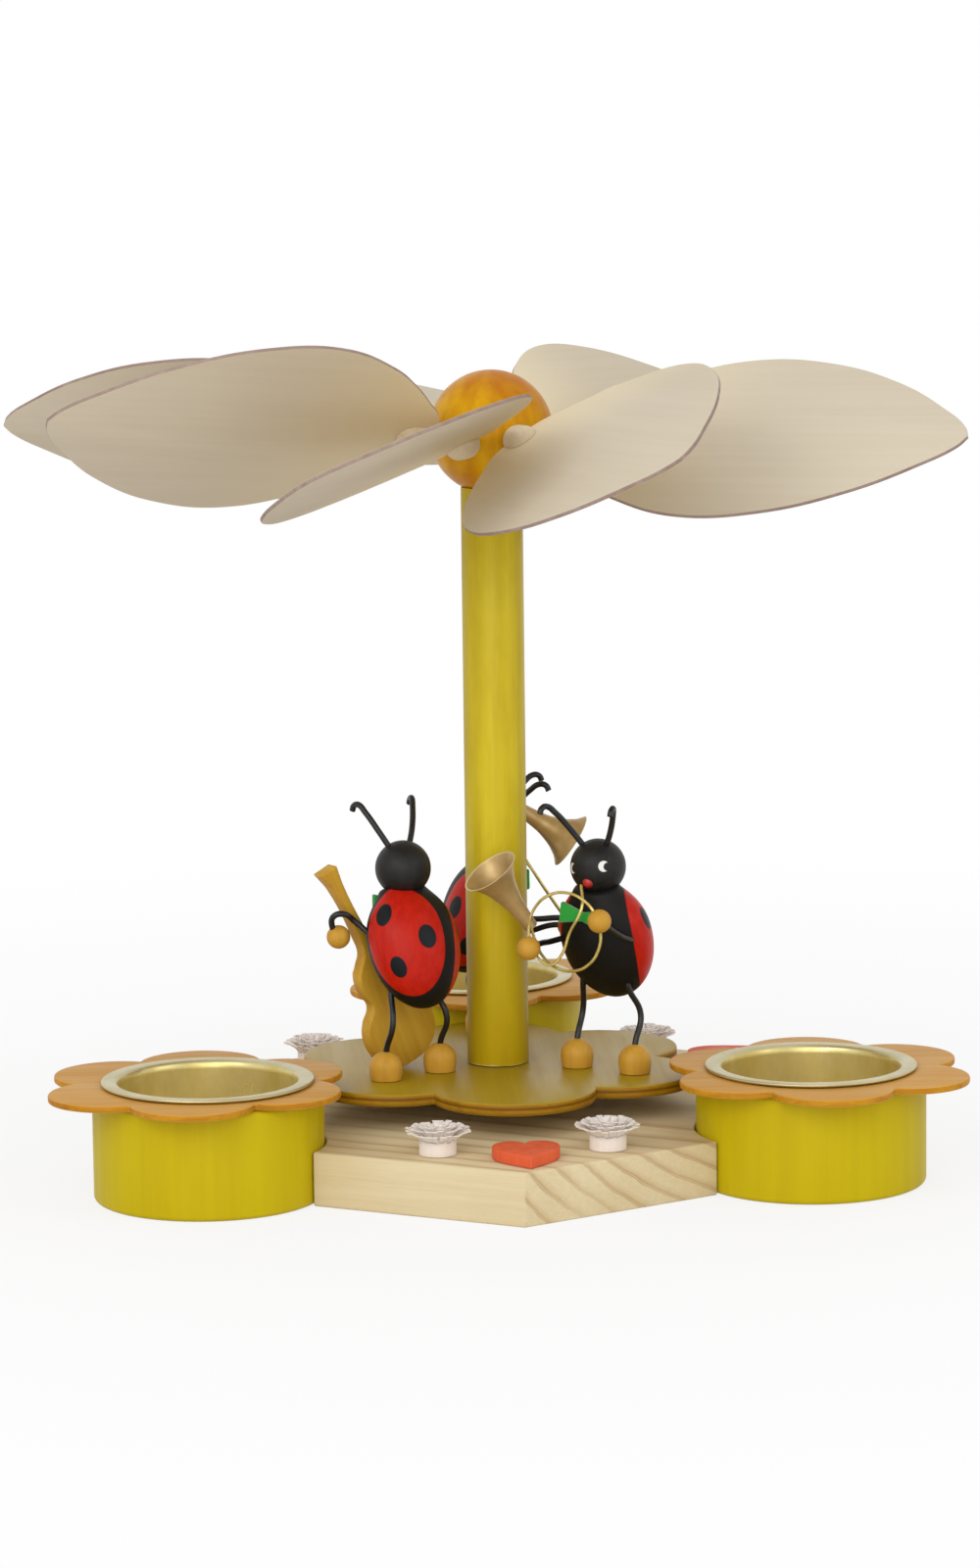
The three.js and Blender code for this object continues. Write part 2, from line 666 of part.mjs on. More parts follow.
function addRotor(group) {
  const deck = new THREE.Group();
  deck.rotation.z = rad(rotorTurnDeg);
  const table = meshOf('turntable', turntable(), oliveWood);
  table.position.z = turntableBottom;
  deck.add(table);
  musicians.forEach((musician, index) => addMusician(deck, musician, index));
  group.add(deck);
  group.add(meshOf('column', column(), greenWood));
  group.add(meshOf('bearing_cup', bearingCup(), steel));
  const hub = new THREE.Group();
  hub.position.z = hubCentre;
  hub.add(meshOf('hub_ball', hubBall(), amberWood));
  for (let i = 0; i < bladeCount; i++) {
    const leaf = meshOf(`blade_${i + 1}`, blade(), veneer);
    leaf.rotation.setFromRotationMatrix(bladeTurn(i));
    leaf.position.z = -bladeDrop;
    hub.add(leaf);
  }
  group.add(hub);
}

const carousel = new THREE.Group();
carousel.add(meshOf('base_plate', basePlate(), pine));
carousel.add(meshOf('pivot_needle', pivotNeedle(), steel));
for (let i = 0; i < 3; i++) {
  addHolder(carousel, i);
  addTrim(carousel, i);
}
addRotor(carousel);

export default carousel;
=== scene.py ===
import json
import random
from math import asin, atan2, cos, pi, radians, sin

import bmesh
import bpy
from mathutils import Matrix, Vector


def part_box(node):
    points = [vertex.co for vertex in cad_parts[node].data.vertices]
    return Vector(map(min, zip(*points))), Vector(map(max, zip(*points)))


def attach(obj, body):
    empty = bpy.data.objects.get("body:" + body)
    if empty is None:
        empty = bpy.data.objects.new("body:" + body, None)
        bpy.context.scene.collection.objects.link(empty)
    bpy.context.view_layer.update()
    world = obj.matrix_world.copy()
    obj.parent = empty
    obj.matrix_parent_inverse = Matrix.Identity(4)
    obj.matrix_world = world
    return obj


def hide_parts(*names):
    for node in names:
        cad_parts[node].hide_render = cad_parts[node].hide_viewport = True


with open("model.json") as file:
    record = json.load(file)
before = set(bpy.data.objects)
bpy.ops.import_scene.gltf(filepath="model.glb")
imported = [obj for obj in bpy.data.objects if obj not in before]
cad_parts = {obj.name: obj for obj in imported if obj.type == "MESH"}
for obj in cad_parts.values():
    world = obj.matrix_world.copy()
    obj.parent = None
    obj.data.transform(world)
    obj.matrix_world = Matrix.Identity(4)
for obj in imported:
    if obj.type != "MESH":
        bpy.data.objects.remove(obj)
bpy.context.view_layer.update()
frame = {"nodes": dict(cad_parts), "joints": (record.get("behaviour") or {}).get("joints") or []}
mm = 0.001


# Camera
# It stands a good metre in front of the carousel, a little above the blades, and looks down on the base.
def spun(angle, axis):
    return Matrix.Rotation(angle, 4, axis)


def moved(way):
    return Matrix.Translation(way)


camera_distance = 1159 * mm
camera_height = 260.8 * mm
camera_round = -0.069
camera_turn = -0.068
camera_tilt = -0.150
camera_roll = -0.012
bpy.ops.object.camera_add()
camera = bpy.context.object
camera.data.lens = 117.46
camera.data.sensor_width = 36
camera.matrix_world = (
    spun(camera_round, "Z")
    @ moved((0, -camera_distance, camera_height))
    @ spun(camera_turn - camera_round, "Z")
    @ spun(pi / 2 + camera_tilt, "X")
    @ spun(camera_roll, "Z")
)
bpy.context.scene.camera = camera
bpy.context.scene.view_settings.view_transform = "Standard"


# Studio
# A white table and a white room, lit by large soft lamps in front and to the left and by weaker ones
# to the right and above. The room shows white to the camera, in gloss and through glass alike.
def node(kind, sockets, tree=None, **settings):
    """Adds a node to the tree, or to that of its first joined socket, and joins or sets its sockets."""
    joined = [value for value in sockets.values() if isinstance(value, bpy.types.NodeSocket)]
    tree = tree or joined[0].id_data
    added = tree.nodes.new("ShaderNode" + kind)
    for key, value in settings.items():
        setattr(added, key, value)
    for key, value in sockets.items():
        if value in joined:
            tree.links.new(value, added.inputs[key])
        else:
            added.inputs[key].default_value = value
    return added


def math_of(operation, first, second=0.0):
    return node("Math", {0: first, 1: second}, operation=operation).outputs[0]


def times(first, second):
    return math_of("MULTIPLY", first, second)


def object_place(tree):
    return tree.nodes.new("ShaderNodeTexCoord").outputs["Object"]


def seen_directly(tree):
    """1 for rays that show the studio itself: straight to the camera, in gloss or through glass."""
    rays = tree.nodes.new("ShaderNodeLightPath").outputs
    mirrored = math_of("MAXIMUM", rays["Is Camera Ray"], rays["Is Glossy Ray"])
    return math_of("MAXIMUM", mirrored, rays["Is Transmission Ray"])


def empty_tree(owner):
    owner.use_nodes = True
    owner.node_tree.nodes.clear()
    return owner.node_tree


white = (1, 1, 1, 1)
room_light = 0.74
world = bpy.data.worlds.new("white_room")
bpy.context.scene.world = world
strength = node("MapRange", {"Value": seen_directly(empty_tree(world)), "To Min": room_light, "To Max": 1})
background = node("Background", {"Color": white, "Strength": strength.outputs[0]})
node("OutputWorld", {"Surface": background.outputs[0]})

table_width = 24
table_glow = 0.8
glow_start = 0.12
glow_end = 0.42
bpy.ops.mesh.primitive_plane_add(size=table_width)
table = bpy.context.object
table.name = "table"
table_white = bpy.data.materials.new("table_white")
tree = empty_tree(table_white)
matt = node("BsdfDiffuse", {"Color": (0.82, 0.82, 0.82, 1)}, tree)
glow = node("Emission", {"Color": white, "Strength": 1}, tree)
distance = node("VectorMath", {0: object_place(tree)}, operation="LENGTH").outputs["Value"]
fade = node("MapRange", {"Value": distance, "From Min": glow_start, "From Max": glow_end,
                         "To Min": table_glow, "To Max": 1}).outputs[0]
mixed = node("MixShader", {0: times(seen_directly(tree), fade), 1: matt.outputs[0], 2: glow.outputs[0]})
node("OutputMaterial", {"Surface": mixed.outputs[0]})
table.data.materials.append(table_white)

lamps = [
    ("left_lamp", (-0.75, -0.95, 0.75), 0.7, 3.6),
    ("right_lamp", (0.95, -0.7, 0.5), 0.5, 1.2),
    ("top_lamp", (0.1, -0.1, 1.3), 0.9, 1.4),
    ("front_lamp", (-0.15, -1.4, 0.5), 1.0, 5.0),
]
for name, spot, width, power in lamps:
    bpy.ops.object.light_add(type="AREA", location=spot)
    lamp = bpy.context.object
    lamp.name = name
    lamp.data.size = width
    lamp.data.energy = power
    aim = Vector((0, 0, 80 * mm)) - Vector(spot)
    lamp.rotation_euler = aim.to_track_quat("-Z", "Y").to_euler()


# Base board
# A hexagon sawn from a 12 mm pine board. Every other corner is hollowed to seat a candle holder, and a
# blind hole in the middle takes the needle. The edges are only broken with sandpaper.
def colour(red, green, blue):
    """A colour written as it looks on a screen, 0 to 255, as the shader's linear one."""
    return tuple((c / 255 / 12.92 if c <= 10 else ((c / 255 + 0.055) / 1.055) ** 2.4)
                 for c in (red, green, blue)) + (1,)


def plus(first, second):
    return math_of("ADD", first, second)


def minus(first, second):
    return math_of("SUBTRACT", first, second)


def axes_of(vector):
    return node("SeparateXYZ", {0: vector}).outputs


def noise(spot, scales, detail=4, rough=0.6, scale=1):
    """Noise over a place that is scaled along each axis and then all round."""
    scaled = node("VectorMath", {0: spot, 1: scales}, operation="MULTIPLY").outputs[0]
    return node("TexNoise", {"Vector": scaled, "Scale": scale, "Detail": detail,
                             "Roughness": rough}).outputs[0]


def between(value, low=0.3, high=0.7, to_low=0.0, to_high=1.0):
    return node("MapRange", {"Value": value, "From Min": low, "From Max": high, "To Min": to_low,
                             "To Max": to_high}, interpolation_type="SMOOTHSTEP").outputs[0]


def mix(factor, first, second):
    """Mixes two colours. Each is a socket, or red, green and blue from 0 to 255."""
    first, second = (colour(*side) if isinstance(side, tuple) else side for side in (first, second))
    return node("Mix", {0: factor, 6: first, 7: second}, data_type="RGBA").outputs[2]


def grey_ramp(value, stops):
    """Greys along a value, as places and levels; the first stop is at 0 and the last at 1."""
    ramp = node("ValToRGB", {0: value})
    for at, grey in stops[1:-1]:
        ramp.color_ramp.elements.new(at)
    for element, (at, grey) in zip(ramp.color_ramp.elements, stops):
        element.color = (grey, grey, grey, 1)
    return ramp.outputs[0]


# Wood fibres run along the group's Z: fine streaks, slow blotches and short dark pores
wood_fibres = bpy.data.node_groups.new("wood_fibres", "ShaderNodeTree")
fibre_sockets = {
    "INPUT": {"Vector": "Vector", "Pale": "Color", "Dark": "Color", "Fibres": "Float", "Blotches": "Float",
              "Contrast": "Float"},
    "OUTPUT": {"Color": "Color", "Mask": "Float", "Height": "Float"},
}
for way, sockets in fibre_sockets.items():
    for key, kind in sockets.items():
        wood_fibres.interface.new_socket(name=key, in_out=way, socket_type="NodeSocket" + kind)
given = wood_fibres.nodes.new("NodeGroupInput").outputs
put = wood_fibres.nodes.new("NodeGroupOutput")
streaks = noise(given["Vector"], (1, 1, 0.035), scale=given["Fibres"])
blotches = noise(given["Vector"], (1, 1, 0.3), 3, scale=given["Blotches"])
pore_part = between(noise(given["Vector"], (3.5, 3.5, 0.3), 2, scale=given["Fibres"]), 0.58, 0.72)
mask = plus(times(between(streaks, 0.32, 0.68), 0.5), times(between(blotches, 0.35, 0.68), 0.5))
mask = plus(mask, times(pore_part, 0.18))
tinted = mix(times(mask, given["Contrast"]), given["Pale"], given["Dark"])
height = minus(streaks, times(pore_part, 0.4))
for key, value in (("Color", tinted), ("Mask", mask), ("Height", height)):
    wood_fibres.links.new(value, put.inputs[key])


def fibres_at(spot, pale, dark, fibres, blotches, contrast):
    """The fibre group's outputs at a place."""
    return node("Group", {"Vector": spot, "Pale": colour(*pale), "Dark": colour(*dark), "Fibres": fibres,
                          "Blotches": blotches, "Contrast": contrast}, spot.id_data,
                node_tree=wood_fibres).outputs


def new_finish(name, specular=0.5, **sockets):
    """A material with a Principled shader whose plain sockets are set; returns it, its tree and shader."""
    material = bpy.data.materials.new(name)
    material.use_nodes = True
    shader = material.node_tree.nodes["Principled BSDF"]
    shader.inputs["Specular IOR Level"].default_value = specular
    for key, value in sockets.items():
        shader.inputs[key.replace("_", " ")].default_value = value
    return material, material.node_tree, shader


def coat(shader, tint, gloss=None, height=None, relief=0.0):
    """Joins a finish's colour to its shader, and its roughness and its height where they vary."""
    links = shader.id_data.links
    links.new(tint, shader.inputs["Base Color"])
    if gloss is not None:
        links.new(gloss, shader.inputs["Roughness"])
    if height is not None:
        bumped = node("Bump", {"Height": height, "Distance": relief})
        links.new(bumped.outputs[0], shader.inputs["Normal"])


def place_of(tree, turn=(0, 0, 0), centre=(0, 0, 0)):
    """Object coordinates, turned so that the wood's fibres lie along Z."""
    return node("Mapping", {"Vector": object_place(tree), "Rotation": turn, "Location": centre}).outputs[0]


def wooden(name, pale, dark, fibres, blotches, contrast, roughness, relief, spot_of=place_of, **sockets):
    """A stained or bare wooden finish from the fibre group."""
    material, tree, shader = new_finish(name, **sockets)
    wood = fibres_at(spot_of(tree), pale, dark, fibres, blotches, contrast)
    coat(shader, wood["Color"], between(wood["Mask"], 0, 1, *roughness), wood["Height"], relief)
    return material


def settle(piece, name, body, slot, *nodes, smooth=35):
    """Puts the piece's place into its mesh, smooths it, names it, and fixes it to its body."""
    deselect()
    piece.select_set(True)
    bpy.context.view_layer.objects.active = piece
    bpy.ops.object.transform_apply(location=True, rotation=True, scale=True)
    bpy.ops.object.shade_smooth_by_angle(angle=radians(smooth))
    piece.name = name
    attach(piece, body)
    if nodes:
        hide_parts(*nodes)


def deselect():
    bpy.ops.object.select_all(action="DESELECT")


def apply_modifier(piece, kind, **settings):
    modifier = piece.modifiers.new(kind.lower(), kind)
    for key, value in settings.items():
        setattr(modifier, key, value)
    bpy.context.view_layer.objects.active = piece
    bpy.ops.object.modifier_apply(modifier=modifier.name)


def ease_edges(piece, width, segments=3, over=50):
    """Rounds the edges that turn by more than an angle in degrees."""
    apply_modifier(piece, "BEVEL", width=width, segments=segments, limit_method="ANGLE",
                   angle_limit=radians(over))


def discard(piece):
    bpy.data.objects.remove(piece)


def carve(piece, tool, operation="DIFFERENCE"):
    """Cuts the tool out of the piece, or joins it on, and takes the tool away."""
    apply_modifier(piece, "BOOLEAN", object=tool, operation=operation, solver="EXACT")
    discard(tool)


def cylinder(radius, depth, middle, sides, turn=(0, 0, 0)):
    deselect()
    bpy.ops.mesh.primitive_cylinder_add(vertices=sides, radius=radius, depth=depth, location=middle,
                                        rotation=turn)
    return bpy.context.object


def middle_of(name):
    """The middle of a CAD piece as seen from above."""
    low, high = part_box(name)
    return (low.x + high.x) / 2, (low.y + high.y) / 2


base_low, base_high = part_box("base_plate")
base_radius = -base_low.y
base_height = base_high.z
holder_low, holder_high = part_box("candle_holder_1")
holder_radius = (holder_high.x - holder_low.x) / 2
seat_gap = 0.3 * mm
socket_radius = 1.8 * mm
socket_floor = 2.2 * mm
base = cylinder(base_radius, base_height, (0, 0, base_height / 2), 6)
for number in (1, 2, 3):
    seat = (*middle_of(f"candle_holder_{number}"), 0)
    carve(base, cylinder(holder_radius + seat_gap, 3 * base_height, seat, 96))
carve(base, cylinder(socket_radius, base_height, (0, 0, socket_floor + base_height / 2), 24))
ease_edges(base, 0.55 * mm, over=40)

# The board's heart lies above and behind the front corner, so its rings run as long bands over the top
# and cross the front right side aslant
fibre_turn = radians(-30)
ring_middle = (7 * mm, 68 * mm)
ring_width = 4.6 * mm
ring_waver = 5.2 * mm
ring_stops = [(0, 0), (0.55, 0), (0.78, 0.35), (0.89, 0.9), (0.94, 0.3), (1, 1)]
pine, tree, shader = new_finish("planed_pine", 0.25, Roughness=0.6)
turned = node("VectorRotate", {"Vector": object_place(tree), "Angle": -fibre_turn},
              rotation_type="Z_AXIS").outputs[0]
waver = times(minus(noise(turned, (14, 60, 60), 3), 0.5), ring_waver)
axes = axes_of(turned)
across = minus(plus(axes[1], waver), ring_middle[0])
upward = minus(axes[2], ring_middle[1])
reach = math_of("SQRT", plus(times(across, across), times(upward, upward)))
rings = grey_ramp(math_of("FRACT", math_of("DIVIDE", reach, ring_width)), ring_stops)
patchy = between(noise(turned, (9, 30, 30), 2), 0.3, 0.65, 0.25, 1)

# The faces along the fibres show them as faint lines, the top and the sawn ends show the rings
outward = tree.nodes.new("ShaderNodeTexCoord").outputs["Normal"]
lengthways = (cos(fibre_turn), sin(fibre_turn), 0)
sawn = math_of("ABSOLUTE", node("VectorMath", {0: outward, 1: lengthways},
                                operation="DOT_PRODUCT").outputs["Value"])
open_face = between(math_of("MAXIMUM", sawn, math_of("ABSOLUTE", axes_of(outward)[2])), 0.3, 0.8, 0.12, 1)
ringed = times(times(rings, patchy), open_face)
fibres_along = node("CombineXYZ", {0: axes[1], 1: axes[2], 2: axes[0]}).outputs[0]
wood = fibres_at(fibres_along, (222, 206, 168), (208, 186, 142), 1100, 60, 0.6)
coat(shader, mix(times(ringed, 0.75), wood["Color"], (172, 130, 78)), None, plus(wood["Height"], ringed),
     0.05 * mm)
base.data.materials.append(pine)
settle(base, "base_board", "base", "pine_wood", "base_plate")


# Candle holders
# Three cylinders turned from lime, stained yellow-green and varnished. Each is bored from above for its
# cup and glued in a hollow of the base.
def edit_mode(on=True):
    bpy.ops.object.mode_set(mode="EDIT" if on else "OBJECT")


def select_whole():
    bpy.ops.mesh.select_all(action="SELECT")


def select_faces(piece, wanted):
    """In edit mode, selects the faces whose middle and normal pass the test, and nothing else."""
    bpy.ops.mesh.select_mode(type="FACE")
    bpy.ops.mesh.select_all(action="DESELECT")
    shape = bmesh.from_edit_mesh(piece.data)
    for face in shape.faces:
        face.select_set(wanted(face.calc_center_median(), face.normal))
    bmesh.update_edit_mesh(piece.data)


def extrude(way):
    bpy.ops.mesh.extrude_region_move(TRANSFORM_OT_translate={"value": tuple(way)})


def own_copy(piece):
    """A copy with a mesh of its own."""
    copy = piece.copy()
    copy.data = piece.data.copy()
    bpy.context.collection.objects.link(copy)
    return copy


holder_height = holder_high.z
bore_radius = 20.9 * mm
bore_floor = 10.35 * mm
holder = cylinder(holder_radius, holder_height, (0, 0, holder_height / 2), 112)
bpy.ops.object.transform_apply(location=True)
edit_mode()
select_faces(holder, lambda middle, normal: normal.z > 0.9)
bpy.ops.mesh.inset(thickness=holder_radius - bore_radius)
extrude((0, 0, bore_floor - holder_height))
edit_mode(False)
ease_edges(holder, 1.2 * mm, 5)
green_stain = wooden("green_stain", (200, 180, 6), (182, 158, 4), 260, 40, 0.6, (0.4, 0.5), 0.01 * mm,
                     specular=0.14)
holder.data.materials.append(green_stain)
for number in (1, 2, 3):
    copy = own_copy(holder)
    copy.location = (*middle_of(f"candle_holder_{number}"), 0)
    settle(copy, f"holder_{number}", "base", "green_stained_wood", f"candle_holder_{number}")
discard(holder)


# Flower plates
# Six-petalled plates sawn from thin plywood and stained orange. They are glued on the holders by hand,
# a little off the middle, and bored for the cups.
def draw_point(spot):
    """Starts a drawing in edit mode with a single point."""
    deselect()
    bpy.ops.mesh.primitive_plane_add(size=mm, location=(0, 0, 0))
    edit_mode()
    bpy.ops.mesh.select_mode(type="VERT")
    select_whole()
    bpy.ops.mesh.merge(type="CENTER")
    bpy.ops.transform.translate(value=spot)
    return bpy.context.object


def raise_outline(thickness):
    """Closes the drawn outline, fills it, raises it to its thickness and leaves edit mode."""
    select_whole()
    bpy.ops.mesh.remove_doubles(threshold=0.01 * mm)
    bpy.ops.mesh.edge_face_add()
    extrude((0, 0, thickness))
    select_whole()
    bpy.ops.mesh.normals_make_consistent(inside=False)
    edit_mode(False)


def lobed_board(radius, notch_share, turn, centre, bottom, thickness):
    """A board whose outline is six arcs that meet in notches."""
    half = pi / 6
    notch = radius * notch_share
    middle = (radius ** 2 - notch ** 2) / (2 * (radius - notch * cos(half)))
    sweep = atan2(notch * sin(half), notch * cos(half) - middle)
    start = turn - pi / 2 - half
    board = draw_point((centre[0] + notch * cos(start), centre[1] + notch * sin(start), bottom))
    for lobe in range(6):
        aim = turn - pi / 2 + lobe * 2 * half
        pivot = (centre[0] + middle * cos(aim), centre[1] + middle * sin(aim), bottom)
        bpy.ops.mesh.spin(steps=22, angle=-2 * sweep, center=pivot, axis=(0, 0, 1))
    raise_outline(thickness)
    return board


def two_finishes(piece, first, second, level):
    """The first finish, and the second on faces whose normals rise or fall by less than the level."""
    piece.data.materials.append(first)
    piece.data.materials.append(second)
    for face in piece.data.polygons:
        face.material_index = int(abs(face.normal.z) < level)


def laid_flat(tree):
    return place_of(tree, (0, pi / 2, 0))


plate_low, plate_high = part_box("flower_plate_1")
plate_radius = 35.2 * mm
plate_thick = plate_high.z - plate_low.z
plate_settings = [(0, 1.6 * mm, -0.7 * mm), (-4, 1.8 * mm, 0), (-3, -2.5 * mm, 1.3 * mm)]
orange_stain = wooden("orange_stain", (208, 157, 76), (190, 134, 52), 500, 70, 0.6, (0.45, 0.58), 0.02 * mm,
                      laid_flat, specular=0.2)
orange_edge = wooden("orange_edge", (200, 140, 26), (156, 94, 18), 900, 120, 0.8, (0.45, 0.6), 0.03 * mm,
                     laid_flat, specular=0.15)
for number, (turn, aside, back) in enumerate(plate_settings, 1):
    x, y = middle_of(f"candle_holder_{number}")
    plate = lobed_board(plate_radius, 0.78, radians(turn), (x + aside, y + back), plate_low.z, plate_thick)
    carve(plate, cylinder(bore_radius, 20 * mm, (x, y, plate_low.z), 96))
    ease_edges(plate, 0.42 * mm, over=40)
    two_finishes(plate, orange_stain, orange_edge, 0.5)
    settle(plate, f"petals_{number}", "base", "orange_stained_wood", f"flower_plate_{number}")


# Tealight cups
# Pressed from thin gold-lacquered sheet. The rolled rim lies on the flower plate, and the cup lifts out
# of its bore.
def draw_line(points):
    """Draws a line of edges through the points in edit mode."""
    drawing = draw_point(points[0])
    for here, there in zip(points, points[1:]):
        extrude(Vector(there) - Vector(here))
    return drawing


def turn_on_lathe(profile, steps):
    """Draws a profile of (radius, height) pairs and spins it about Z into a closed shell."""
    shell = draw_line([(radius, 0, height) for radius, height in profile])
    select_whole()
    bpy.ops.mesh.spin(steps=steps, angle=2 * pi, center=(0, 0, 0), axis=(0, 0, 1))
    select_whole()
    bpy.ops.mesh.remove_doubles(threshold=0.005 * mm)
    bpy.ops.mesh.normals_make_consistent(inside=False)
    edit_mode(False)
    return shell


def arc(centre, radius, start, end, steps):
    """Points of a rounded corner in a profile, from one angle to another in degrees."""
    angles = [radians(start + (end - start) * i / steps) for i in range(steps + 1)]
    return [(centre[0] + radius * cos(a), centre[1] + radius * sin(a)) for a in angles]


cup_low, cup_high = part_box("tealight_cup_1")
cup_mouth = 20 * mm
cup_wall = 0.6 * mm
cup_rim = (cup_high.x - cup_low.x) / 2
cup_floor = cup_low.z + cup_wall
cup_corner = 2 * mm
lip_round = 0.35 * mm
rim_seat = plate_high.z + 0.3 * mm
rim_width = cup_rim - cup_mouth
rim_rise = cup_high.z - rim_seat
rim_shares = [(0.78, 1.0), (0.55, 1.0), (0.36, 0.98), (0.2, 0.86), (0.09, 0.55), (0.02, 0.0)]
inside_corner = (cup_mouth - cup_corner, cup_floor + cup_corner)
outside_corner = (cup_mouth + cup_wall - cup_corner, cup_floor - cup_wall + cup_corner)
cup_profile = (
    [(0, cup_floor - cup_wall)]
    + arc(outside_corner, cup_corner, -90, 0, 6)
    + [(cup_mouth + cup_wall, rim_seat), (cup_rim - lip_round, rim_seat)]
    + arc((cup_rim - lip_round, rim_seat + lip_round), lip_round, -70, 80, 5)
    + [(cup_mouth + rim_width * far, rim_seat + rim_rise * high) for far, high in rim_shares]
    + [(cup_mouth, rim_seat - 1.2 * mm)]
    + arc(inside_corner, cup_corner, 0, -90, 6)
    + [(0, cup_floor)]
)
cup = turn_on_lathe(cup_profile, 112)
lacquer, tree, shader = new_finish("gold_lacquer", Metallic=0.7)
spot = object_place(tree)
cloud = noise(spot, (120, 120, 60), 3)
press_marks = noise(spot, (300, 300, 2600), 2)
gold = mix(between(cloud), (226, 211, 150), (205, 186, 112))
# Painted reflection: above its seat the rim is mixed towards a pale grey-gold, standing for the white room
# mirrored in the lacquer
painted_rim_reflection = between(axes_of(spot)[2], rim_seat - 0.3 * mm, rim_seat + 0.5 * mm, 0, 0.7)
coat(shader, mix(painted_rim_reflection, gold, (182, 174, 140)), between(cloud, 0.3, 0.7, 0.27, 0.36), press_marks,
     0.015 * mm)
cup.data.materials.append(lacquer)
for number, side in enumerate(("right", "rear", "left"), 1):
    copy = own_copy(cup)
    copy.location = (*middle_of(f"tealight_cup_{number}"), 0)
    settle(copy, f"cup_{number}", f"cup_{side}", "gold_cup_metal", f"tealight_cup_{number}")
discard(cup)

# Hearts
# Small hearts sawn from board, dipped in red stain and glued on the free corners, pointing outwards.
heart_low, heart_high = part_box("heart_1")
heart_length = 17 * mm
heart_half = 7.5 * mm
heart_inset = 2.7 * mm
trim_turn = radians(1.3)
heart_sides = [((0, 0), (0.3, 0.2), (1, 0.4), (1, 0.7)), ((1, 0.7), (1, 1), (0.15, 1.12), (0, 0.84))]
outline = [(0, 0, 0)]
for corners in heart_sides:
    for step in range(1, 15):
        t = step / 14
        weights = ((1 - t) ** 3, 3 * t * (1 - t) ** 2, 3 * t * t * (1 - t), t ** 3)
        wide = sum(weight * corner[0] for weight, corner in zip(weights, corners))
        far = sum(weight * corner[1] for weight, corner in zip(weights, corners))
        outline.append((wide * heart_half, far * heart_length, 0))
heart = draw_line(outline + [(-x, y, z) for x, y, z in outline[-2:0:-1]])
raise_outline(heart_high.z - heart_low.z)
ease_edges(heart, 0.75 * mm, 4)
red_stain = wooden("red_stain", (226, 98, 58), (206, 76, 42), 400, 120, 0.6, (0.5, 0.62), 0.02 * mm,
                   specular=0.25)
heart.data.materials.append(red_stain)
for number in (1, 2, 3):
    copy = own_copy(heart)
    turn = spun(radians(120) * (number - 1) + trim_turn, "Z")
    copy.matrix_world = turn @ moved((0, heart_inset - base_radius, heart_low.z))
    settle(copy, f"red_heart_{number}", "base", "red_painted_wood", f"heart_{number}")
discard(heart)

# Shaving flowers
# A round peg of soft wood is cut down into curls that bend outwards, and the rest of the peg is the stem.
# Two stand beside each heart.
stem_radius = 4.1 * mm
flower_height = 6.7 * mm
curl_thick = 0.22 * mm
stem_share = 0.52
curl_rings = [
    (28, [(3.8, 0.46), (4.5, 0.6), (5.5, 0.71), (6.5, 0.79), (7.4, 0.82)]),
    (22, [(3.0, 0.52), (3.7, 0.68), (4.5, 0.81), (5.3, 0.9), (6.0, 0.94)]),
    (14, [(2.0, 0.54), (2.4, 0.72), (2.9, 0.86), (3.5, 0.95), (4.1, 0.99)]),
    (8, [(0.9, 0.56), (1.1, 0.74), (1.3, 0.87), (1.6, 0.95), (1.9, 1.0)]),
]
random.seed(4)
flower = cylinder(stem_radius, stem_share * flower_height, (0, 0, stem_share / 2 * flower_height), 36)
bpy.ops.object.transform_apply(location=True)
edit_mode()
select_faces(flower, lambda middle, normal: normal.z > 0.9)
extrude((0, 0, 0.24 * flower_height))
bpy.ops.transform.resize(value=(0.25, 0.25, 1))
edit_mode(False)
curls = []
for count, path in curl_rings:
    for i in range(count):
        reach = random.uniform(0.93, 1.0)
        rise = random.uniform(0.93, 1.0)
        path_here = [(radius * reach * mm, height * rise * flower_height) for radius, height in path]
        start_radius, start_height = path_here[0]
        width = 0.85 * 2 * pi * start_radius / count
        curl = draw_point((start_radius, -width / 2, start_height))
        extrude((0, width, 0))
        select_whole()
        for (r1, z1), (r2, z2) in zip(path_here, path_here[1:]):
            extrude((r2 - r1, 0, z2 - z1))
            bpy.ops.transform.resize(value=(1, r2 / r1, 1))
        edit_mode(False)
        apply_modifier(curl, "SOLIDIFY", thickness=curl_thick, offset=0)
        spin = spun(2 * pi * (i + random.uniform(-0.12, 0.12)) / count, "Z")
        curl.data.transform(spin @ spun(random.uniform(-0.06, 0.06), "X"))
        curls.append(curl)
deselect()
for part in curls + [flower]:
    part.select_set(True)
bpy.context.view_layer.objects.active = flower
bpy.ops.object.join()
shaving = wooden("white_shaving", (240, 230, 222), (230, 216, 206), 900, 300, 0.6, (0.7, 0.85), 0.03 * mm,
                 specular=0.2, Subsurface_Weight=0.7, Subsurface_Radius=(1, 1, 1),
                 Subsurface_Scale=0.001)
flower.data.materials.append(shaving)
for letter in "ab":
    for number in (1, 2, 3):
        node_name = f"shaving_flower_{number}{letter}"
        copy = own_copy(flower)
        foot_spot = moved((*middle_of(node_name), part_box(node_name)[0].z))
        copy.matrix_world = foot_spot @ spun(random.uniform(0, 6), "Z")
        settle(copy, f"curled_flower_{number}{letter}", "base", "shaving_wood", node_name, smooth=20)
discard(flower)

# Needle and bearing
# A pointed steel rod stands in the base, and a steel cup with a cone in the hub turns on its point. Both
# are hidden inside the column, and their modelled parts only get a ground steel finish.
ground_steel, tree, shader = new_finish("ground_steel", Metallic=1.0)
scratches = noise(object_place(tree), (900, 900, 9000), 2)
coat(shader, mix(scratches, (150, 150, 154), (196, 196, 200)), between(scratches, 0.3, 0.7, 0.25, 0.4))
for name in ("pivot_needle", "bearing_cup"):
    materials = frame["nodes"][name].data.materials
    materials.clear()
    materials.append(ground_steel)

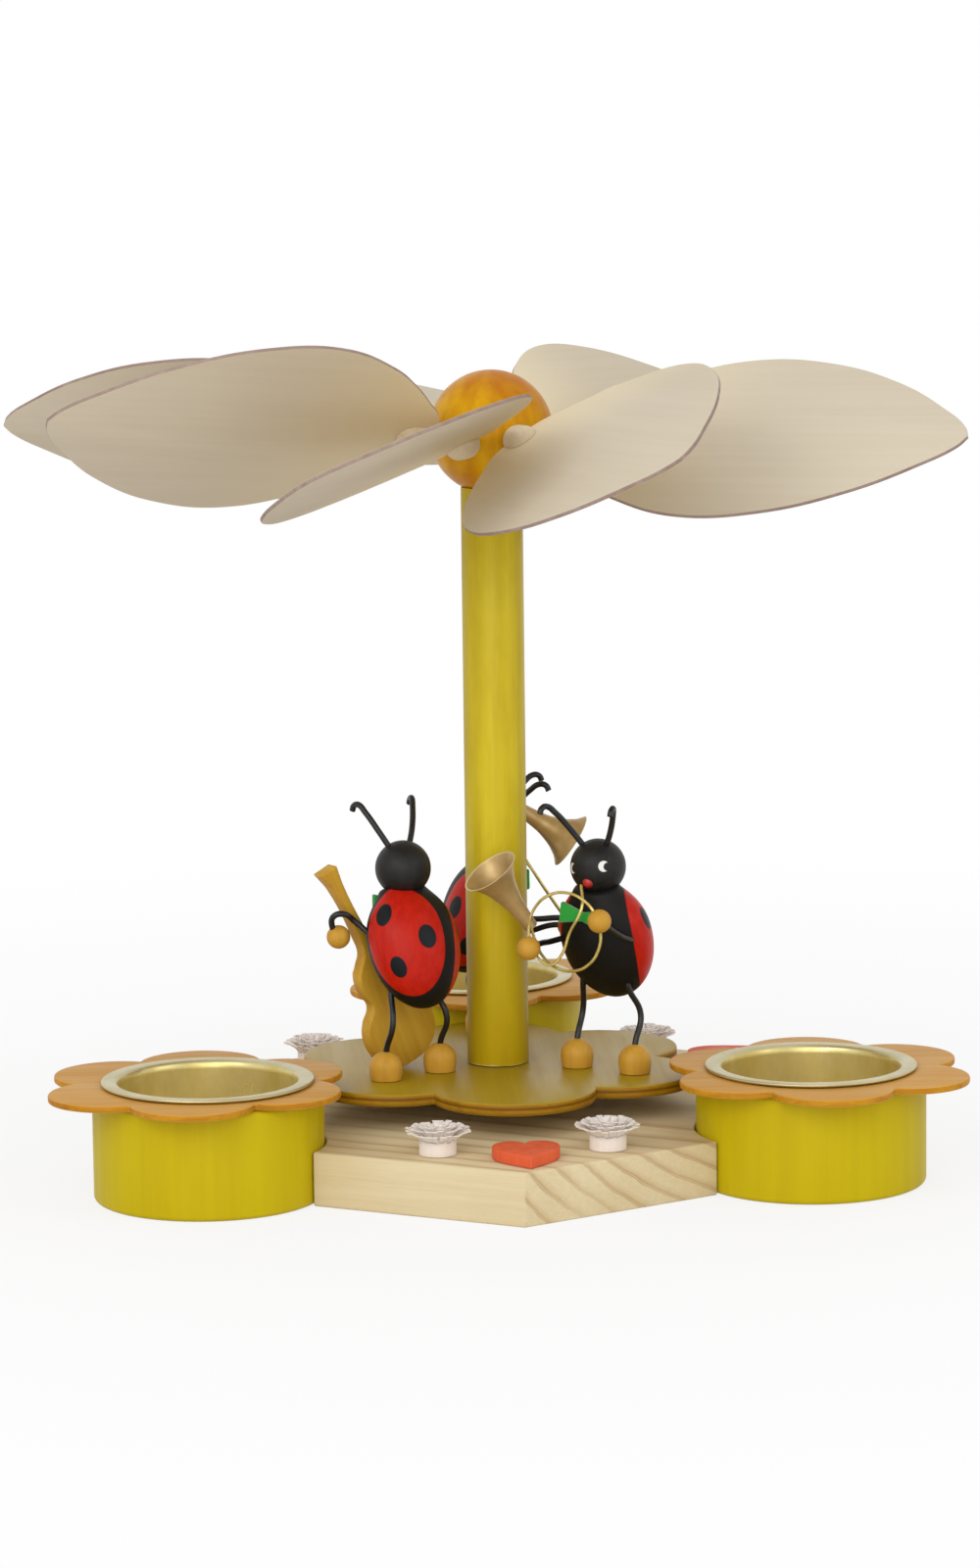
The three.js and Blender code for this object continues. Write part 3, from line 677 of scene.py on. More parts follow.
# Turntable
# A plywood disc with six shallow lobes, stained olive and varnished, with the ply showing on its edge.
# It is glued under the column and turns about the needle.
table_low, table_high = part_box("turntable")
rotor_turn = radians(2.8)
disc_radius = 47.6 * mm
ply_stops = [(0, 0.8), (0.12, 0.3), (0.28, 0), (0.42, 0.15), (0.55, 0.95), (0.72, 0.85), (0.84, 0.2), (1, 0)]
disc = lobed_board(disc_radius, 0.775, rotor_turn, (0, 0), table_low.z, table_high.z - table_low.z)
carve(disc, cylinder(2 * mm, 20 * mm, (0, 0, table_low.z), 32))
ease_edges(disc, 0.5 * mm, over=40)
olive_stain = wooden("olive_stain", (170, 142, 20), (148, 117, 12), 260, 36, 0.6, (0.34, 0.44), 0.01 * mm,
                     lambda tree: place_of(tree, (pi / 2, 0, 0)), specular=0.3)
ply_edge, tree, shader = new_finish("ply_edge", Roughness=0.42, specular=0.15)
wood = fibres_at(laid_flat(tree), (176, 130, 24), (136, 90, 12), 900, 90, 0.8)
plies = grey_ramp(between(axes_of(object_place(tree))[2], table_low.z, table_high.z), ply_stops)
coat(shader, mix(times(plies, 0.8), wood["Color"], (92, 56, 8)), None, wood["Height"], 0.04 * mm)
two_finishes(disc, olive_stain, ply_edge, 0.6)
settle(disc, "lobed_disc", "rotor", "olive_stained_wood", "turntable")

# Column
# A turned tube of lime, stained and varnished like the holders, glued on the turntable. The hub sits on
# its upper end, and the needle stands inside it.
column_low, column_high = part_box("column")
column_radius = (column_high.x - column_low.x) / 2
column_bore = 3.2 * mm
column_length = column_high.z - column_low.z
tube = cylinder(column_radius, column_length, (0, 0, 0), 72)
edit_mode()
select_faces(tube, lambda middle, normal: abs(normal.z) > 0.9)
bpy.ops.mesh.inset(thickness=column_radius - column_bore, use_boundary=True)
bpy.ops.mesh.bridge_edge_loops()
edit_mode(False)
tube.location = (0, 0, column_low.z + column_length / 2)
ease_edges(tube, 0.3 * mm, 2)
column_stain, tree, shader = new_finish("column_stain", specular=0.25)
wood = fibres_at(place_of(tree), (216, 194, 30), (186, 160, 14), 320, 110, 0.8)
height = axes_of(object_place(tree))[2]
# Darker and browner towards the foot, and painted shade down both sides where the tube turns away from the
# light
foot_part = between(height, column_low.z, column_low.z + 40 * mm, 0.5, 0)
painted_side_shade = node("LayerWeight", {"Blend": 0.3}, tree).outputs["Facing"]
darker_foot_and_painted_side_shade = mix(foot_part, wood["Color"], (164, 128, 6))
darker_foot_and_painted_side_shade = mix(times(painted_side_shade, 0.4), darker_foot_and_painted_side_shade, (118, 94, 16))

# The glue has squeezed out around the foot and dried pale
squeezed = plus(height, times(wood["Mask"], 0.5 * mm))
glued = between(squeezed, column_low.z + 0.35 * mm, column_low.z + 0.6 * mm, 0.8, 0)
coat(shader, mix(glued, darker_foot_and_painted_side_shade, (216, 202, 130)), between(wood["Mask"], 0, 1, 0.34, 0.46), wood["Height"],
     0.01 * mm)
tube.data.materials.append(column_stain)
settle(tube, "turned_column", "rotor", "green_stained_wood", "column")


# Hub ball
# A ball turned from beech and stained amber, under a gloss varnish. It is flat where it stands on the
# column, bored for the bearing, and drilled for the nine pegs of the blades.
def ball(radius, segments, rings, middle=(0, 0, 0), turn=(0, 0, 0)):
    deselect()
    bpy.ops.mesh.primitive_uv_sphere_add(segments=segments, ring_count=rings, radius=radius, location=middle,
                                         rotation=turn)
    return bpy.context.object


def cut_flat(level):
    """In edit mode, cuts away all that is selected below a level."""
    bpy.ops.mesh.bisect(plane_co=(0, 0, level), plane_no=(0, 0, 1), use_fill=True, clear_inner=True)


hub_low, hub_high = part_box("hub_ball")
hub_radius = (hub_high.x - hub_low.x) / 2
hub_centre = Vector((0, 0, hub_high.z - hub_radius))
hub_roof = 5 * mm
peg_radius = 1.2 * mm
peg_gap = 0.3 * mm
peg_depth = 6 * mm
hub = ball(hub_radius, 72, 48, hub_centre)
bpy.ops.object.transform_apply(location=True)
edit_mode()
select_whole()
cut_flat(hub_low.z)
edit_mode(False)
bore_top = hub_centre.z + hub_roof
carve(hub, cylinder(column_bore, bore_top - hub_low.z + mm, (0, 0, (bore_top + hub_low.z - mm) / 2), 32))
peg_joints = [joint for joint in frame["joints"] if joint["name"].endswith("_pitch")]
peg_joints.sort(key=lambda joint: joint["name"])
for joint in peg_joints:
    axis = Vector(joint["axis"]).normalized()
    middle = Vector(joint["pos_m"]) + axis * (hub_radius - peg_depth / 2)
    along = axis.to_track_quat("Z", "Y").to_euler()
    carve(hub, cylinder(peg_radius + peg_gap, peg_depth + mm, middle, 16, along))
amber_stain, tree, shader = new_finish("amber_stain", specular=0.1)
spot = place_of(tree, centre=-hub_centre)
wood = fibres_at(spot, (212, 158, 4), (176, 110, 2), 220, 70, 0.9)
ragged = plus(math_of("ABSOLUTE", axes_of(spot)[2]), times(wood["Mask"], 5 * mm))
end_grain = between(ragged, 8 * mm, 17 * mm, 0, 0.75)
coat(shader, mix(end_grain, wood["Color"], (180, 104, 4)), between(wood["Mask"], 0, 1, 0.28, 0.4),
     wood["Height"], 0.02 * mm)
hub.data.materials.append(amber_stain)
settle(hub, "turned_hub", "rotor", "amber_stained_wood", "hub_ball")


# Blades
# Nine leaves stamped from lime veneer, whose cut edges have darkened. Each is glued in the slit of a
# turned knob, and the knob's peg turns stiffly in the hub, to set how steep the blade stands.
def placed_copy(piece, placing, own=Matrix.Identity(4)):
    """A copy in its place, whose points keep where they lay on the piece itself as own_place."""
    copy = own_copy(piece)
    store = copy.data.attributes.new("own_place", "FLOAT_VECTOR", "POINT")
    for vertex, value in zip(copy.data.vertices, store.data):
        value.vector = own @ vertex.co
    copy.data.transform(placing)
    return copy


def own_place(tree):
    return node("Attribute", {}, tree, attribute_name="own_place").outputs["Vector"]


def own_lengthways(tree):
    """The stored place with X turned to Z, so that fibres run along the piece."""
    axes = axes_of(own_place(tree))
    return node("CombineXYZ", {0: axes[1], 1: axes[2], 2: axes[0]}).outputs[0]


def curved_piece(points, steps, radius=0.0, sides=0):
    """A smooth line through the points as a mesh; with a radius it becomes a round wire."""
    deselect()
    bpy.ops.curve.primitive_bezier_curve_add()
    curve = bpy.context.object
    line = curve.data.splines[0]
    line.bezier_points.add(len(points) - 2)
    for knot, spot in zip(line.bezier_points, points):
        knot.co = spot
        knot.radius = 1
        knot.handle_left_type = knot.handle_right_type = "AUTO"
    line.resolution_u = steps
    curve.data.bevel_depth = radius
    curve.data.bevel_resolution = sides
    curve.data.use_fill_caps = radius > 0
    bpy.ops.object.convert(target="MESH")
    return bpy.context.object


def sawn_board(right_side, left_side, steps, thickness):
    """A board between two smooth lines that meet at both ends."""
    right = curved_piece(right_side, steps)
    curved_piece(left_side, steps)
    right.select_set(True)
    bpy.ops.object.join()
    edit_mode()
    raise_outline(thickness)
    return bpy.context.object


blade_reach = 113.2 * mm
blade_half = 30.9 * mm
leaf_thick = 0.9 * mm
leaf_spread = 0.3
knob_radius = 3.5 * mm
knob_length = 10.6 * mm
knob_start = hub_radius + 0.3 * mm
leaf_root = knob_start + 0.15 * knob_length
leaf_shares = [(0, 0.08), (0.015, 0.22), (0.07, 0.4), (0.14, 0.6), (0.225, 0.79), (0.4, 1), (0.585, 0.955),
               (0.772, 0.7), (0.917, 0.345), (0.985, 0.115), (1, 0)]
blade_pitches = [26.4, 33.3, 29, 22, 35.8, 17, 21, 35, 37.5]
right_side, left_side = [
    [(leaf_root + (blade_reach - leaf_root) * far, side * blade_half * wide, -leaf_thick / 2)
     for far, wide in leaf_shares]
    for side in (-1, 1)
]
leaf = sawn_board(right_side, left_side, 8, leaf_thick)
ease_edges(leaf, 0.2 * mm, 2)

knob = ball(knob_radius, 40, 24, turn=(0, pi / 2, 0))
bpy.ops.object.transform_apply(rotation=True)
edit_mode()
select_faces(knob, lambda middle, normal: middle.x > 0)
extrude((knob_length - 2 * knob_radius, 0, 0))
select_whole()
bpy.ops.transform.translate(value=(knob_start + knob_radius, 0, 0))
edit_mode(False)
bpy.ops.mesh.primitive_cube_add(size=1, location=(leaf_root + knob_length / 2, 0, 0))
slit = bpy.context.object
slit.scale = (knob_length, 3 * knob_radius, leaf_thick + 0.12 * mm)
carve(knob, slit)
peg = cylinder(peg_radius, peg_depth + 2 * mm, (hub_radius + (2 * mm - peg_depth) / 2, 0, 0), 20,
               (0, pi / 2, 0))
carve(knob, peg, "UNION")

# Painted light: the veneer is painted lighter near the knobs, to lift the shade the blades cast on one
# another there
veneer, tree, shader = new_finish("lime_veneer", specular=0.2, Roughness=0.65)
wood = fibres_at(own_lengthways(tree), (207, 195, 174), (196, 181, 156), 420, 26, 0.5)
outward = math_of("MODULO", axes_of(own_place(tree))[0], leaf_spread)
painted_light_near_knobs = between(outward, 16 * mm, 70 * mm, 0.9, 0)
coat(shader, mix(painted_light_near_knobs, wood["Color"], (229, 213, 178)), None, wood["Height"], 0.01 * mm)
veneer_edge = wooden("veneer_edge", (166, 146, 134), (136, 114, 104), 700, 140, 0.9, (0.6, 0.75), 0.02 * mm,
                     own_lengthways, specular=0.15)
knob_wood = wooden("knob_wood", (212, 195, 165), (196, 175, 143), 700, 90, 0.7, (0.55, 0.65), 0.02 * mm,
                   own_lengthways, specular=0.2)
two_finishes(leaf, veneer, veneer_edge, 0.5)
knob.data.materials.append(knob_wood)
for number, (joint, pitch) in enumerate(zip(peg_joints, blade_pitches), 1):
    axis = Vector(joint["axis"]).normalized()
    turn = (
        moved(joint["pos_m"])
        @ spun(atan2(axis.y, axis.x), "Z")
        @ spun(-asin(axis.z), "Y")
        @ spun(radians(pitch), "X")
    )
    own = moved((leaf_spread * number, 0.17 * number, 0.11 * number))
    vane = f"vane_{number}"
    settle(placed_copy(leaf, turn, own), f"leaf_{number}", vane, "veneer_wood", f"blade_{number}")
    settle(placed_copy(knob, turn, own), f"knob_{number}", vane, "veneer_wood")
discard(leaf)
discard(knob)

# Ladybird bodies
# Three turned eggs with a broad neck, dipped in black, with two red wing cases and their spots painted on
# by brush. Each body leans forward on two legs, and its neck is hollowed for the head.
deck_top = table_high.z
figure_stands = {"cellist": (210, 24.3 * mm, 0), "horn_player": (330, 26.8 * mm, -8),
                 "trombonist": (90, 25.8 * mm, 0)}
figure_places = {}
for who, (azimuth, reach, twist) in figure_stands.items():
    azimuth = radians(azimuth)
    figure_places[who] = (
        spun(rotor_turn, "Z")
        @ moved((reach * cos(azimuth), reach * sin(azimuth), deck_top))
        @ spun(azimuth - pi + radians(twist), "Z")
    )
body_half = Vector((11.2, 8.8, 13.6)) * mm
body_middle = Vector((0, -1.5, 29.2)) * mm
body_lean = radians(-21)
body_profile = [(0, -1), (0.3, -0.95), (0.55, -0.81), (0.77, -0.59), (0.93, -0.31), (1, 0), (1, 0.31),
                (0.93, 0.56), (0.78, 0.78), (0.62, 0.93), (0.52, 1.03), (0.47, 1.12), (0, 1.12)]
head_radius = 6.35 * mm
head_middle = Vector((0, 2.8, 47.6)) * mm
lean = moved(body_middle) @ spun(body_lean, "X")
body = turn_on_lathe(body_profile, 32)
apply_modifier(body, "SUBSURF", levels=2)
body.scale = body_half
bpy.ops.object.transform_apply(scale=True)
egg = own_copy(body)
apply_modifier(egg, "DISPLACE", strength=0.3 * mm, mid_level=0)
egg.data.transform(lean)
carve(body, ball(head_radius + 0.1 * mm, 48, 32, lean.inverted() @ head_middle))


def disc_at(spot, centre, radius, edge):
    """A round brush dab: 1 within the radius of a centre, fading over the edge."""
    away = node("VectorMath", {0: spot, 1: centre}, operation="DISTANCE").outputs["Value"]
    return between(away, radius - edge, radius + edge, 1, 0)


def on_ball(turn, rise, radius=1.0):
    """A place on a ball, by its angle from the front and its height, in degrees."""
    turn, rise = radians(turn), radians(rise)
    return Vector((cos(rise) * sin(turn), cos(rise) * cos(turn), sin(rise))) * radius


wing_aim = radians(67)
wing_half_wide = 0.84
wing_half_tall = 0.871
dab_size = 0.2


def wing_paint(who, dab_places):
    """Black all over, an oval red case on each side of the back, and spots by angle from the front."""
    paint, tree, shader = new_finish(f"{who}_wing_paint", specular=0.16)
    direction = node("VectorMath", {0: own_place(tree)}, operation="NORMALIZE").outputs[0]
    axes = axes_of(direction)
    mirrored = node("CombineXYZ", {0: math_of("ABSOLUTE", axes[0]), 1: axes[1], 2: axes[2]}).outputs[0]
    toward, aside = [
        node("VectorMath", {0: mirrored, 1: line}, operation="DOT_PRODUCT").outputs["Value"]
        for line in ((sin(wing_aim), -cos(wing_aim), 0), (cos(wing_aim), sin(wing_aim), 0))
    ]
    wide = math_of("POWER", math_of("DIVIDE", aside, wing_half_wide), 2.0)
    tall = math_of("POWER", math_of("DIVIDE", axes[2], wing_half_tall), 2.0)
    wobble = times(minus(noise(direction, (1, 1, 1), 2), 0.5), 0.05)
    outside = plus(plus(wide, tall), wobble)
    wing = times(between(outside, 0.98, 1.02, 1, 0), between(toward, 0, 0.1))
    dabs = 0.0
    for turn, rise in dab_places:
        dabs = math_of("MAXIMUM", dabs, disc_at(direction, on_ball(turn, rise), dab_size, 0.012))
    brush = noise(direction, (9, 9, 2.5), 3)
    red = mix(between(brush), (192, 31, 10), (178, 23, 6))
    spotted = mix(dabs, mix(wing, (22, 20, 18), red), (14, 18, 22))
    layers = plus(times(wing, 0.5), times(dabs, 0.4))
    coat(shader, spotted, between(wing, 0, 1, 0.5, 0.36), plus(layers, times(brush, 0.2)), 0.05 * mm)
    return paint


# How far the brushwork is turned, tilted sideways and nodded forward on each body, and where its spots are
paint_turns = {"cellist": (23.4, 7.7, 5.9), "horn_player": (5.0, -6.4, -11.9), "trombonist": (0, 0, 0)}
wing_dabs = {
    "cellist": [(-88.8, 28.8), (-146.1, 7.2), (-102.1, -23.9), (143.3, 18.6), (95, 24), (104, -30)],
    "horn_player": [(-107.9, 29.6), (-143, 2), (-104, -36), (107, 28), (143, 4), (104, -33)],
    "trombonist": [(-92, 28), (-144, 6), (-103, -28), (92, 28), (144, 6), (103, -28)],
}
unit_size = Matrix.Diagonal((1 / body_half.x, 1 / body_half.y, 1 / body_half.z, 1))
for who, spot in figure_places.items():
    turn, tilt, nod = (radians(angle) for angle in paint_turns[who])
    brushwork = spun(-nod, "X") @ spun(-tilt, "Y") @ spun(-turn, "Z")
    copy = placed_copy(body, spot @ lean, brushwork @ unit_size)
    copy.data.materials.append(wing_paint(who, wing_dabs[who]))
    settle(copy, f"{who}_body", "rotor", "ladybird_paint", f"{who}_torso")
discard(body)


# Ladybird heads
# Turned balls dipped in matt black, with the eyes and a red nose dabbed on. Two hooked feelers of black
# wire are glued in each.
def bent_wire(points, steps, sides, radius, material, spot):
    """A wire bent through a figure's points, put where the figure stands."""
    wire = curved_piece(points, steps, radius, sides)
    wire.data.materials.append(material)
    wire.data.transform(spot)
    return wire


wire_radius = 0.7 * mm
feeler_shares = [(0.08, 0.15, 1.07), (0.107, 0.179, 1.09), (0.205, 0.268, 1.175), (0.295, 0.402, 1.265),
                 (0.335, 0.49, 1.3), (0.352, 0.55, 1.292), (0.356, 0.575, 1.268)]
feeler_sways = [0.002, 0.006, 0.018, 0.036, 0.05, 0.055, 0.057]
feeler_bends = {"cellist": (1, 1), "horn_player": (0.5, 1), "trombonist": (1.25, 1.2)}
hook_start = 0.49
figure_span = Vector((22.4, 22.4, 47.6)) * mm
eye_radius = 1.25 * mm
pupil_radius = 0.95 * mm
nose_radius = 1.35 * mm
soft_edge = 0.1 * mm
head = ball(head_radius, 56, 40)
head_paint, tree, shader = new_finish("head_paint", Roughness=0.5, specular=0.3)
spot = own_place(tree)
whites, pupils = [
    math_of("MAXIMUM", *[disc_at(spot, on_ball(*aim, head_radius), radius, soft_edge) for aim in aims])
    for radius, aims in ((eye_radius, ((37, 0), (-42, 9))), (pupil_radius, ((30, 1), (-50, 8))))
]
dull = noise(spot, (500, 500, 500), 3)
black = mix(between(dull), (28, 26, 25), (20, 18, 17))
eyed = mix(pupils, mix(whites, black, (236, 234, 230)), (24, 20, 18))
coat(shader, eyed, None, plus(times(dull, 0.3), whites), 0.04 * mm)
head.data.materials.append(head_paint)
nose_paint, tree, shader = new_finish("nose_paint", Roughness=0.3)
coat(shader, mix(noise(own_place(tree), (800, 800, 800), 2), (190, 34, 30), (160, 22, 20)))
black_wire, tree, shader = new_finish("black_wire", specular=0.4)
shade = noise(place_of(tree), (700, 700, 700), 3)
coat(shader, mix(shade, (14, 13, 13), (30, 28, 28)), between(shade, 0.3, 0.7, 0.28, 0.42))
nose = ball(nose_radius, 20, 12)
nose.data.materials.append(nose_paint)
nose_place = moved(head_middle + on_ball(-4, -29.5, head_radius - 0.6 * mm))
for who, spot in figure_places.items():
    head_ball = placed_copy(head, spot @ moved(head_middle))
    settle(head_ball, f"{who}_head_ball", "rotor", "black_paint", f"{who}_head")
    settle(placed_copy(nose, spot @ nose_place), f"{who}_nose", "rotor", "red_painted_wood")
    for name, side, bend in zip(("left", "right"), (-1, 1), feeler_bends[who]):
        points = []
        for (x, y, z), sway in zip(feeler_shares, feeler_sways):
            ahead = head_middle.y + (min(y, hook_start) * figure_span.y - head_middle.y) * bend
            hooked = max(y - hook_start, 0) * figure_span.y
            points.append(((side * x + sway) * figure_span.x, ahead + hooked, z * figure_span.z))
        feeler = bent_wire(points, 6, 4, wire_radius, black_wire, spot)
        settle(feeler, f"{who}_feeler_{name}", "rotor", "black_wire")
discard(head)
discard(nose)

# Bow ties
# Cut from green felt and glued on the chest under the head. Its back is hollowed to the egg, a little
# larger all round.
bow_half = Vector((5.8, 2.5, 0)) * mm
bow_thick = 1.6 * mm
bow_place = Vector((0, 8.7, 38.2)) * mm
bow_hangs = {"cellist": (2.2 * mm, 0.4 * mm, 0), "horn_player": (0.2 * mm, -1.2 * mm, -7),
             "trombonist": (0, 0, -8)}
bow_corners = [(-1, -1), (0, -0.4), (1, -1), (1, 1), (0, 0.4), (-1, 1)]
felt, tree, shader = new_finish("green_felt", Roughness=0.95, Sheen_Weight=0.4)
fluff = noise(own_place(tree), (1400, 1400, 1400), 5, 0.7)
coat(shader, mix(between(fluff), (22, 142, 36), (36, 166, 54)), None, fluff, 0.15 * mm)
bow = draw_line([(x * bow_half.x, y * bow_half.y, 0) for x, y in bow_corners])
raise_outline(bow_thick)
ease_edges(bow, 0.45 * mm, over=30)
bow.data.materials.append(felt)
for who, spot in figure_places.items():
    aside, rise, tilt = bow_hangs[who]
    upright = (
        moved(bow_place + Vector((aside, bow_thick, rise)))
        @ spun(radians(tilt), "Y")
        @ spun(pi / 2, "X")
    )
    copy = placed_copy(bow, upright)
    carve(copy, own_copy(egg))
    copy.data.transform(spot)
    settle(copy, f"{who}_felt_bow", "rotor", "green_felt", f"{who}_bow_tie")
discard(bow)
discard(egg)


# Legs
# Bent black wire, glued into the body above and into a wooden bead below. The beads are cut flat, stained
# ochre and glued on the turntable.
def at_shares(shares, side=1):
    return [Vector((side * x * figure_span.x, y * figure_span.y, z * figure_span.z)) for x, y, z in shares]


leg_shares = [(0.26, -0.01, 0.47), (0.26, 0, 0.43), (0.34, -0.13, 0.273), (0.34, -0.01, 0.14),
              (0.34, 0, 0.06)]
foot_radius = 3.8 * mm
foot_height = 6.5 * mm
foot_flat = 0.15 * mm
foot_stretch = 1.8
ochre = wooden("ochre_stain", (204, 155, 56), (180, 130, 42), 500, 220, 0.7, (0.4, 0.5), 0.02 * mm,
               own_place, specular=0.2)
foot = ball(foot_radius, 40, 28)
edit_mode()
select_faces(foot, lambda middle, normal: middle.z < 0)
bpy.ops.transform.resize(value=(1, 1, foot_stretch), center_override=(0, 0, 0))
select_whole()
cut_flat(foot_radius - foot_height)
edit_mode(False)
foot.data.materials.append(ochre)
for index, (who, spot) in enumerate(figure_places.items()):
    for name, side in (("left", -1), ("right", 1)):
        points = at_shares(leg_shares, side)
        leg = bent_wire(points, 8, 4, wire_radius, black_wire, spot)
        settle(leg, f"{who}_{name}_leg_wire", "rotor", "black_wire", f"{who}_leg_{name}")
        middle = Vector((points[-1].x, points[-1].y, foot_height - foot_radius + foot_flat))
        bead = placed_copy(foot, spot @ moved(middle), moved((0.05 * index, 0.03 * side, 0)))
        settle(bead, f"{who}_{name}_foot", "rotor", "ochre_wood")
discard(foot)

# Arms
# Bent black wire from the shoulders, with a round ochre bead glued on each end for a hand.
hand_radius = 2.7 * mm
arm_shares = {
    "cellist": ([(-0.3, 0.02, 0.66), (-0.38, 0.09, 0.683), (-0.487, 0.277, 0.754), (-0.612, 0.306, 0.798),
                 (-0.7, 0.36, 0.79), (-0.7, 0.4, 0.746), (-0.62, 0.4, 0.683)],
                [(0.3, 0.0, 0.7), (0.38, 0.09, 0.683), (0.42, 0.357, 0.609), (0.29, 0.56, 0.525),
                 (0.134, 0.66, 0.473)]),
    "horn_player": ([(-0.3, -0.02, 0.64), (-0.38, 0.06, 0.65), (-0.4, 0.357, 0.693), (-0.36, 0.57, 0.75),
                     (-0.342, 0.7, 0.79)],
                    [(0.25, 0.08, 0.65), (0.335, 0.18, 0.647), (0.43, 0.38, 0.637), (0.42, 0.57, 0.644),
                     (0.446, 0.768, 0.634)]),
    "trombonist": ([(-0.3, -0.06, 0.6), (-0.38, 0.045, 0.567), (-0.27, 0.446, 0.515), (-0.19, 0.76, 0.55),
                    (-0.165, 0.92, 0.546)],
                   [(0.3, 0.0, 0.68), (0.38, 0.09, 0.672), (0.4, 0.446, 0.634), (0.35, 0.76, 0.63),
                    (0.326, 0.93, 0.618)]),
}
hand = ball(hand_radius, 36, 24)
hand.data.materials.append(ochre)
for index, (who, spot) in enumerate(figure_places.items()):
    for name, shares in zip(("left", "right"), arm_shares[who]):
        points = at_shares(shares)
        arm = bent_wire(points, 8, 4, wire_radius, black_wire, spot)
        settle(arm, f"{who}_{name}_arm_wire", "rotor", "black_wire", f"{who}_arm_{name}")
        bead = placed_copy(hand, spot @ moved(points[-1]), moved((0.07 * index, 0, points[-1].x)))
        settle(bead, f"{who}_{name}_hand", "rotor", "ochre_wood")
discard(hand)

# Cello
# Sawn in one piece from board, its edges rounded, and stained ochre. It stands on its tail in front of
# the player and leans outwards, its neck bent a little.
cello_length = 52.2 * mm
cello_half = 9.2 * mm
cello_thick = 3.4 * mm
cello_lean = radians(-24.5)
cello_drift = 2 * mm
cello_foot = Vector((6.7, 11.5, 0.3)) * mm
cello_shares = [(0, 0), (0.38, 0.008), (0.78, 0.05), (0.98, 0.13), (0.99, 0.21), (0.8, 0.275), (0.58, 0.31),
                (0.52, 0.34), (0.58, 0.38), (0.62, 0.43), (0.56, 0.485), (0.36, 0.53), (0.19, 0.565),
                (0.15, 0.64), (0.15, 0.9), (0.21, 0.96), (0.26, 1)]
right_side, left_side = [
    [(side * cello_half * wide - cello_drift * max(2 * far - 1, 0) ** 2, cello_length * far, 0)
     for wide, far in cello_shares]
    for side in (1, -1)
]
blank = sawn_board(right_side, left_side, 5, cello_thick)
ease_edges(blank, 0.6 * mm)
cello_stain = wooden("cello_stain", (212, 170, 58), (182, 132, 34), 340, 150, 0.9, (0.4, 0.52), 0.02 * mm,
                     own_lengthways, specular=0.2)
blank.data.materials.append(cello_stain)
upright = spun(cello_lean, "Y") @ spun(pi / 2, "X")
cello = placed_copy(blank, upright, spun(pi / 2, "Z"))
lowest = min(vertex.co.z for vertex in cello.data.vertices)
cello.data.transform(figure_places["cellist"] @ moved(cello_foot - Vector((0, 0, lowest))))
settle(cello, "cello_board", "rotor", "ochre_wood", "cellist_instrument")
discard(blank)

# French horn
# A brass wire wound into the coil and glued in a turned bell, which is painted matt gold.
pipe_radius = 0.35 * mm
bell_throat = 1.6 * mm
bell_wall = 0.35 * mm
bell_shares = [(0, 0), (0.012, 0.08), (0.03, 0.16), (0.06, 0.25), (0.085, 0.33), (0.12, 0.41), (0.18, 0.5),
               (0.24, 0.57), (0.32, 0.655), (0.42, 0.74), (0.51, 0.795), (0.6, 0.848), (0.7, 0.9),
               (0.8, 0.937), (0.9, 0.97), (1, 1)]
bell_stop = 0.2
horn_mouth = 6.75 * mm
coil_radius = 9.1 * mm
coil_pitch = 2.2 * mm
coil_start = -47
coil_sweep = 390
coil_stops = 14
horn_pipe = [(0.045, 0.39, 0.926), (-0.04, 0.53, 0.83), (0.1, 0.536, 0.705), (0.2, 0.56, 0.585),
             (0.29, 0.6, 0.547)]
coil_share = (0.13, 0.571, 0.71)
horn_bell = [(0.555, 0.534, 0.717), (0.806, 0.911, 1.003)]
brass_wire, tree, shader = new_finish("brass_wire", Metallic=0.6)
tarnish = noise(place_of(tree), (250, 250, 250), 3)
coat(shader, mix(between(tarnish), (228, 210, 128), (190, 168, 86)), between(tarnish, 0.3, 0.7, 0.2, 0.35))
bell_gold, tree, shader = new_finish("bell_gold", Metallic=0.4, specular=0.25)
spot = own_place(tree)
brush = noise(spot, (180, 180, 3), 2)
worn = between(plus(axes_of(spot)[2], times(brush, 0.02)), 0.995, 1.012)
painted = mix(between(brush), (194, 165, 113), (178, 147, 94))
coat(shader, mix(worn, painted, (214, 194, 146)), between(brush, 0.3, 0.7, 0.36, 0.46), brush, 0.01 * mm)


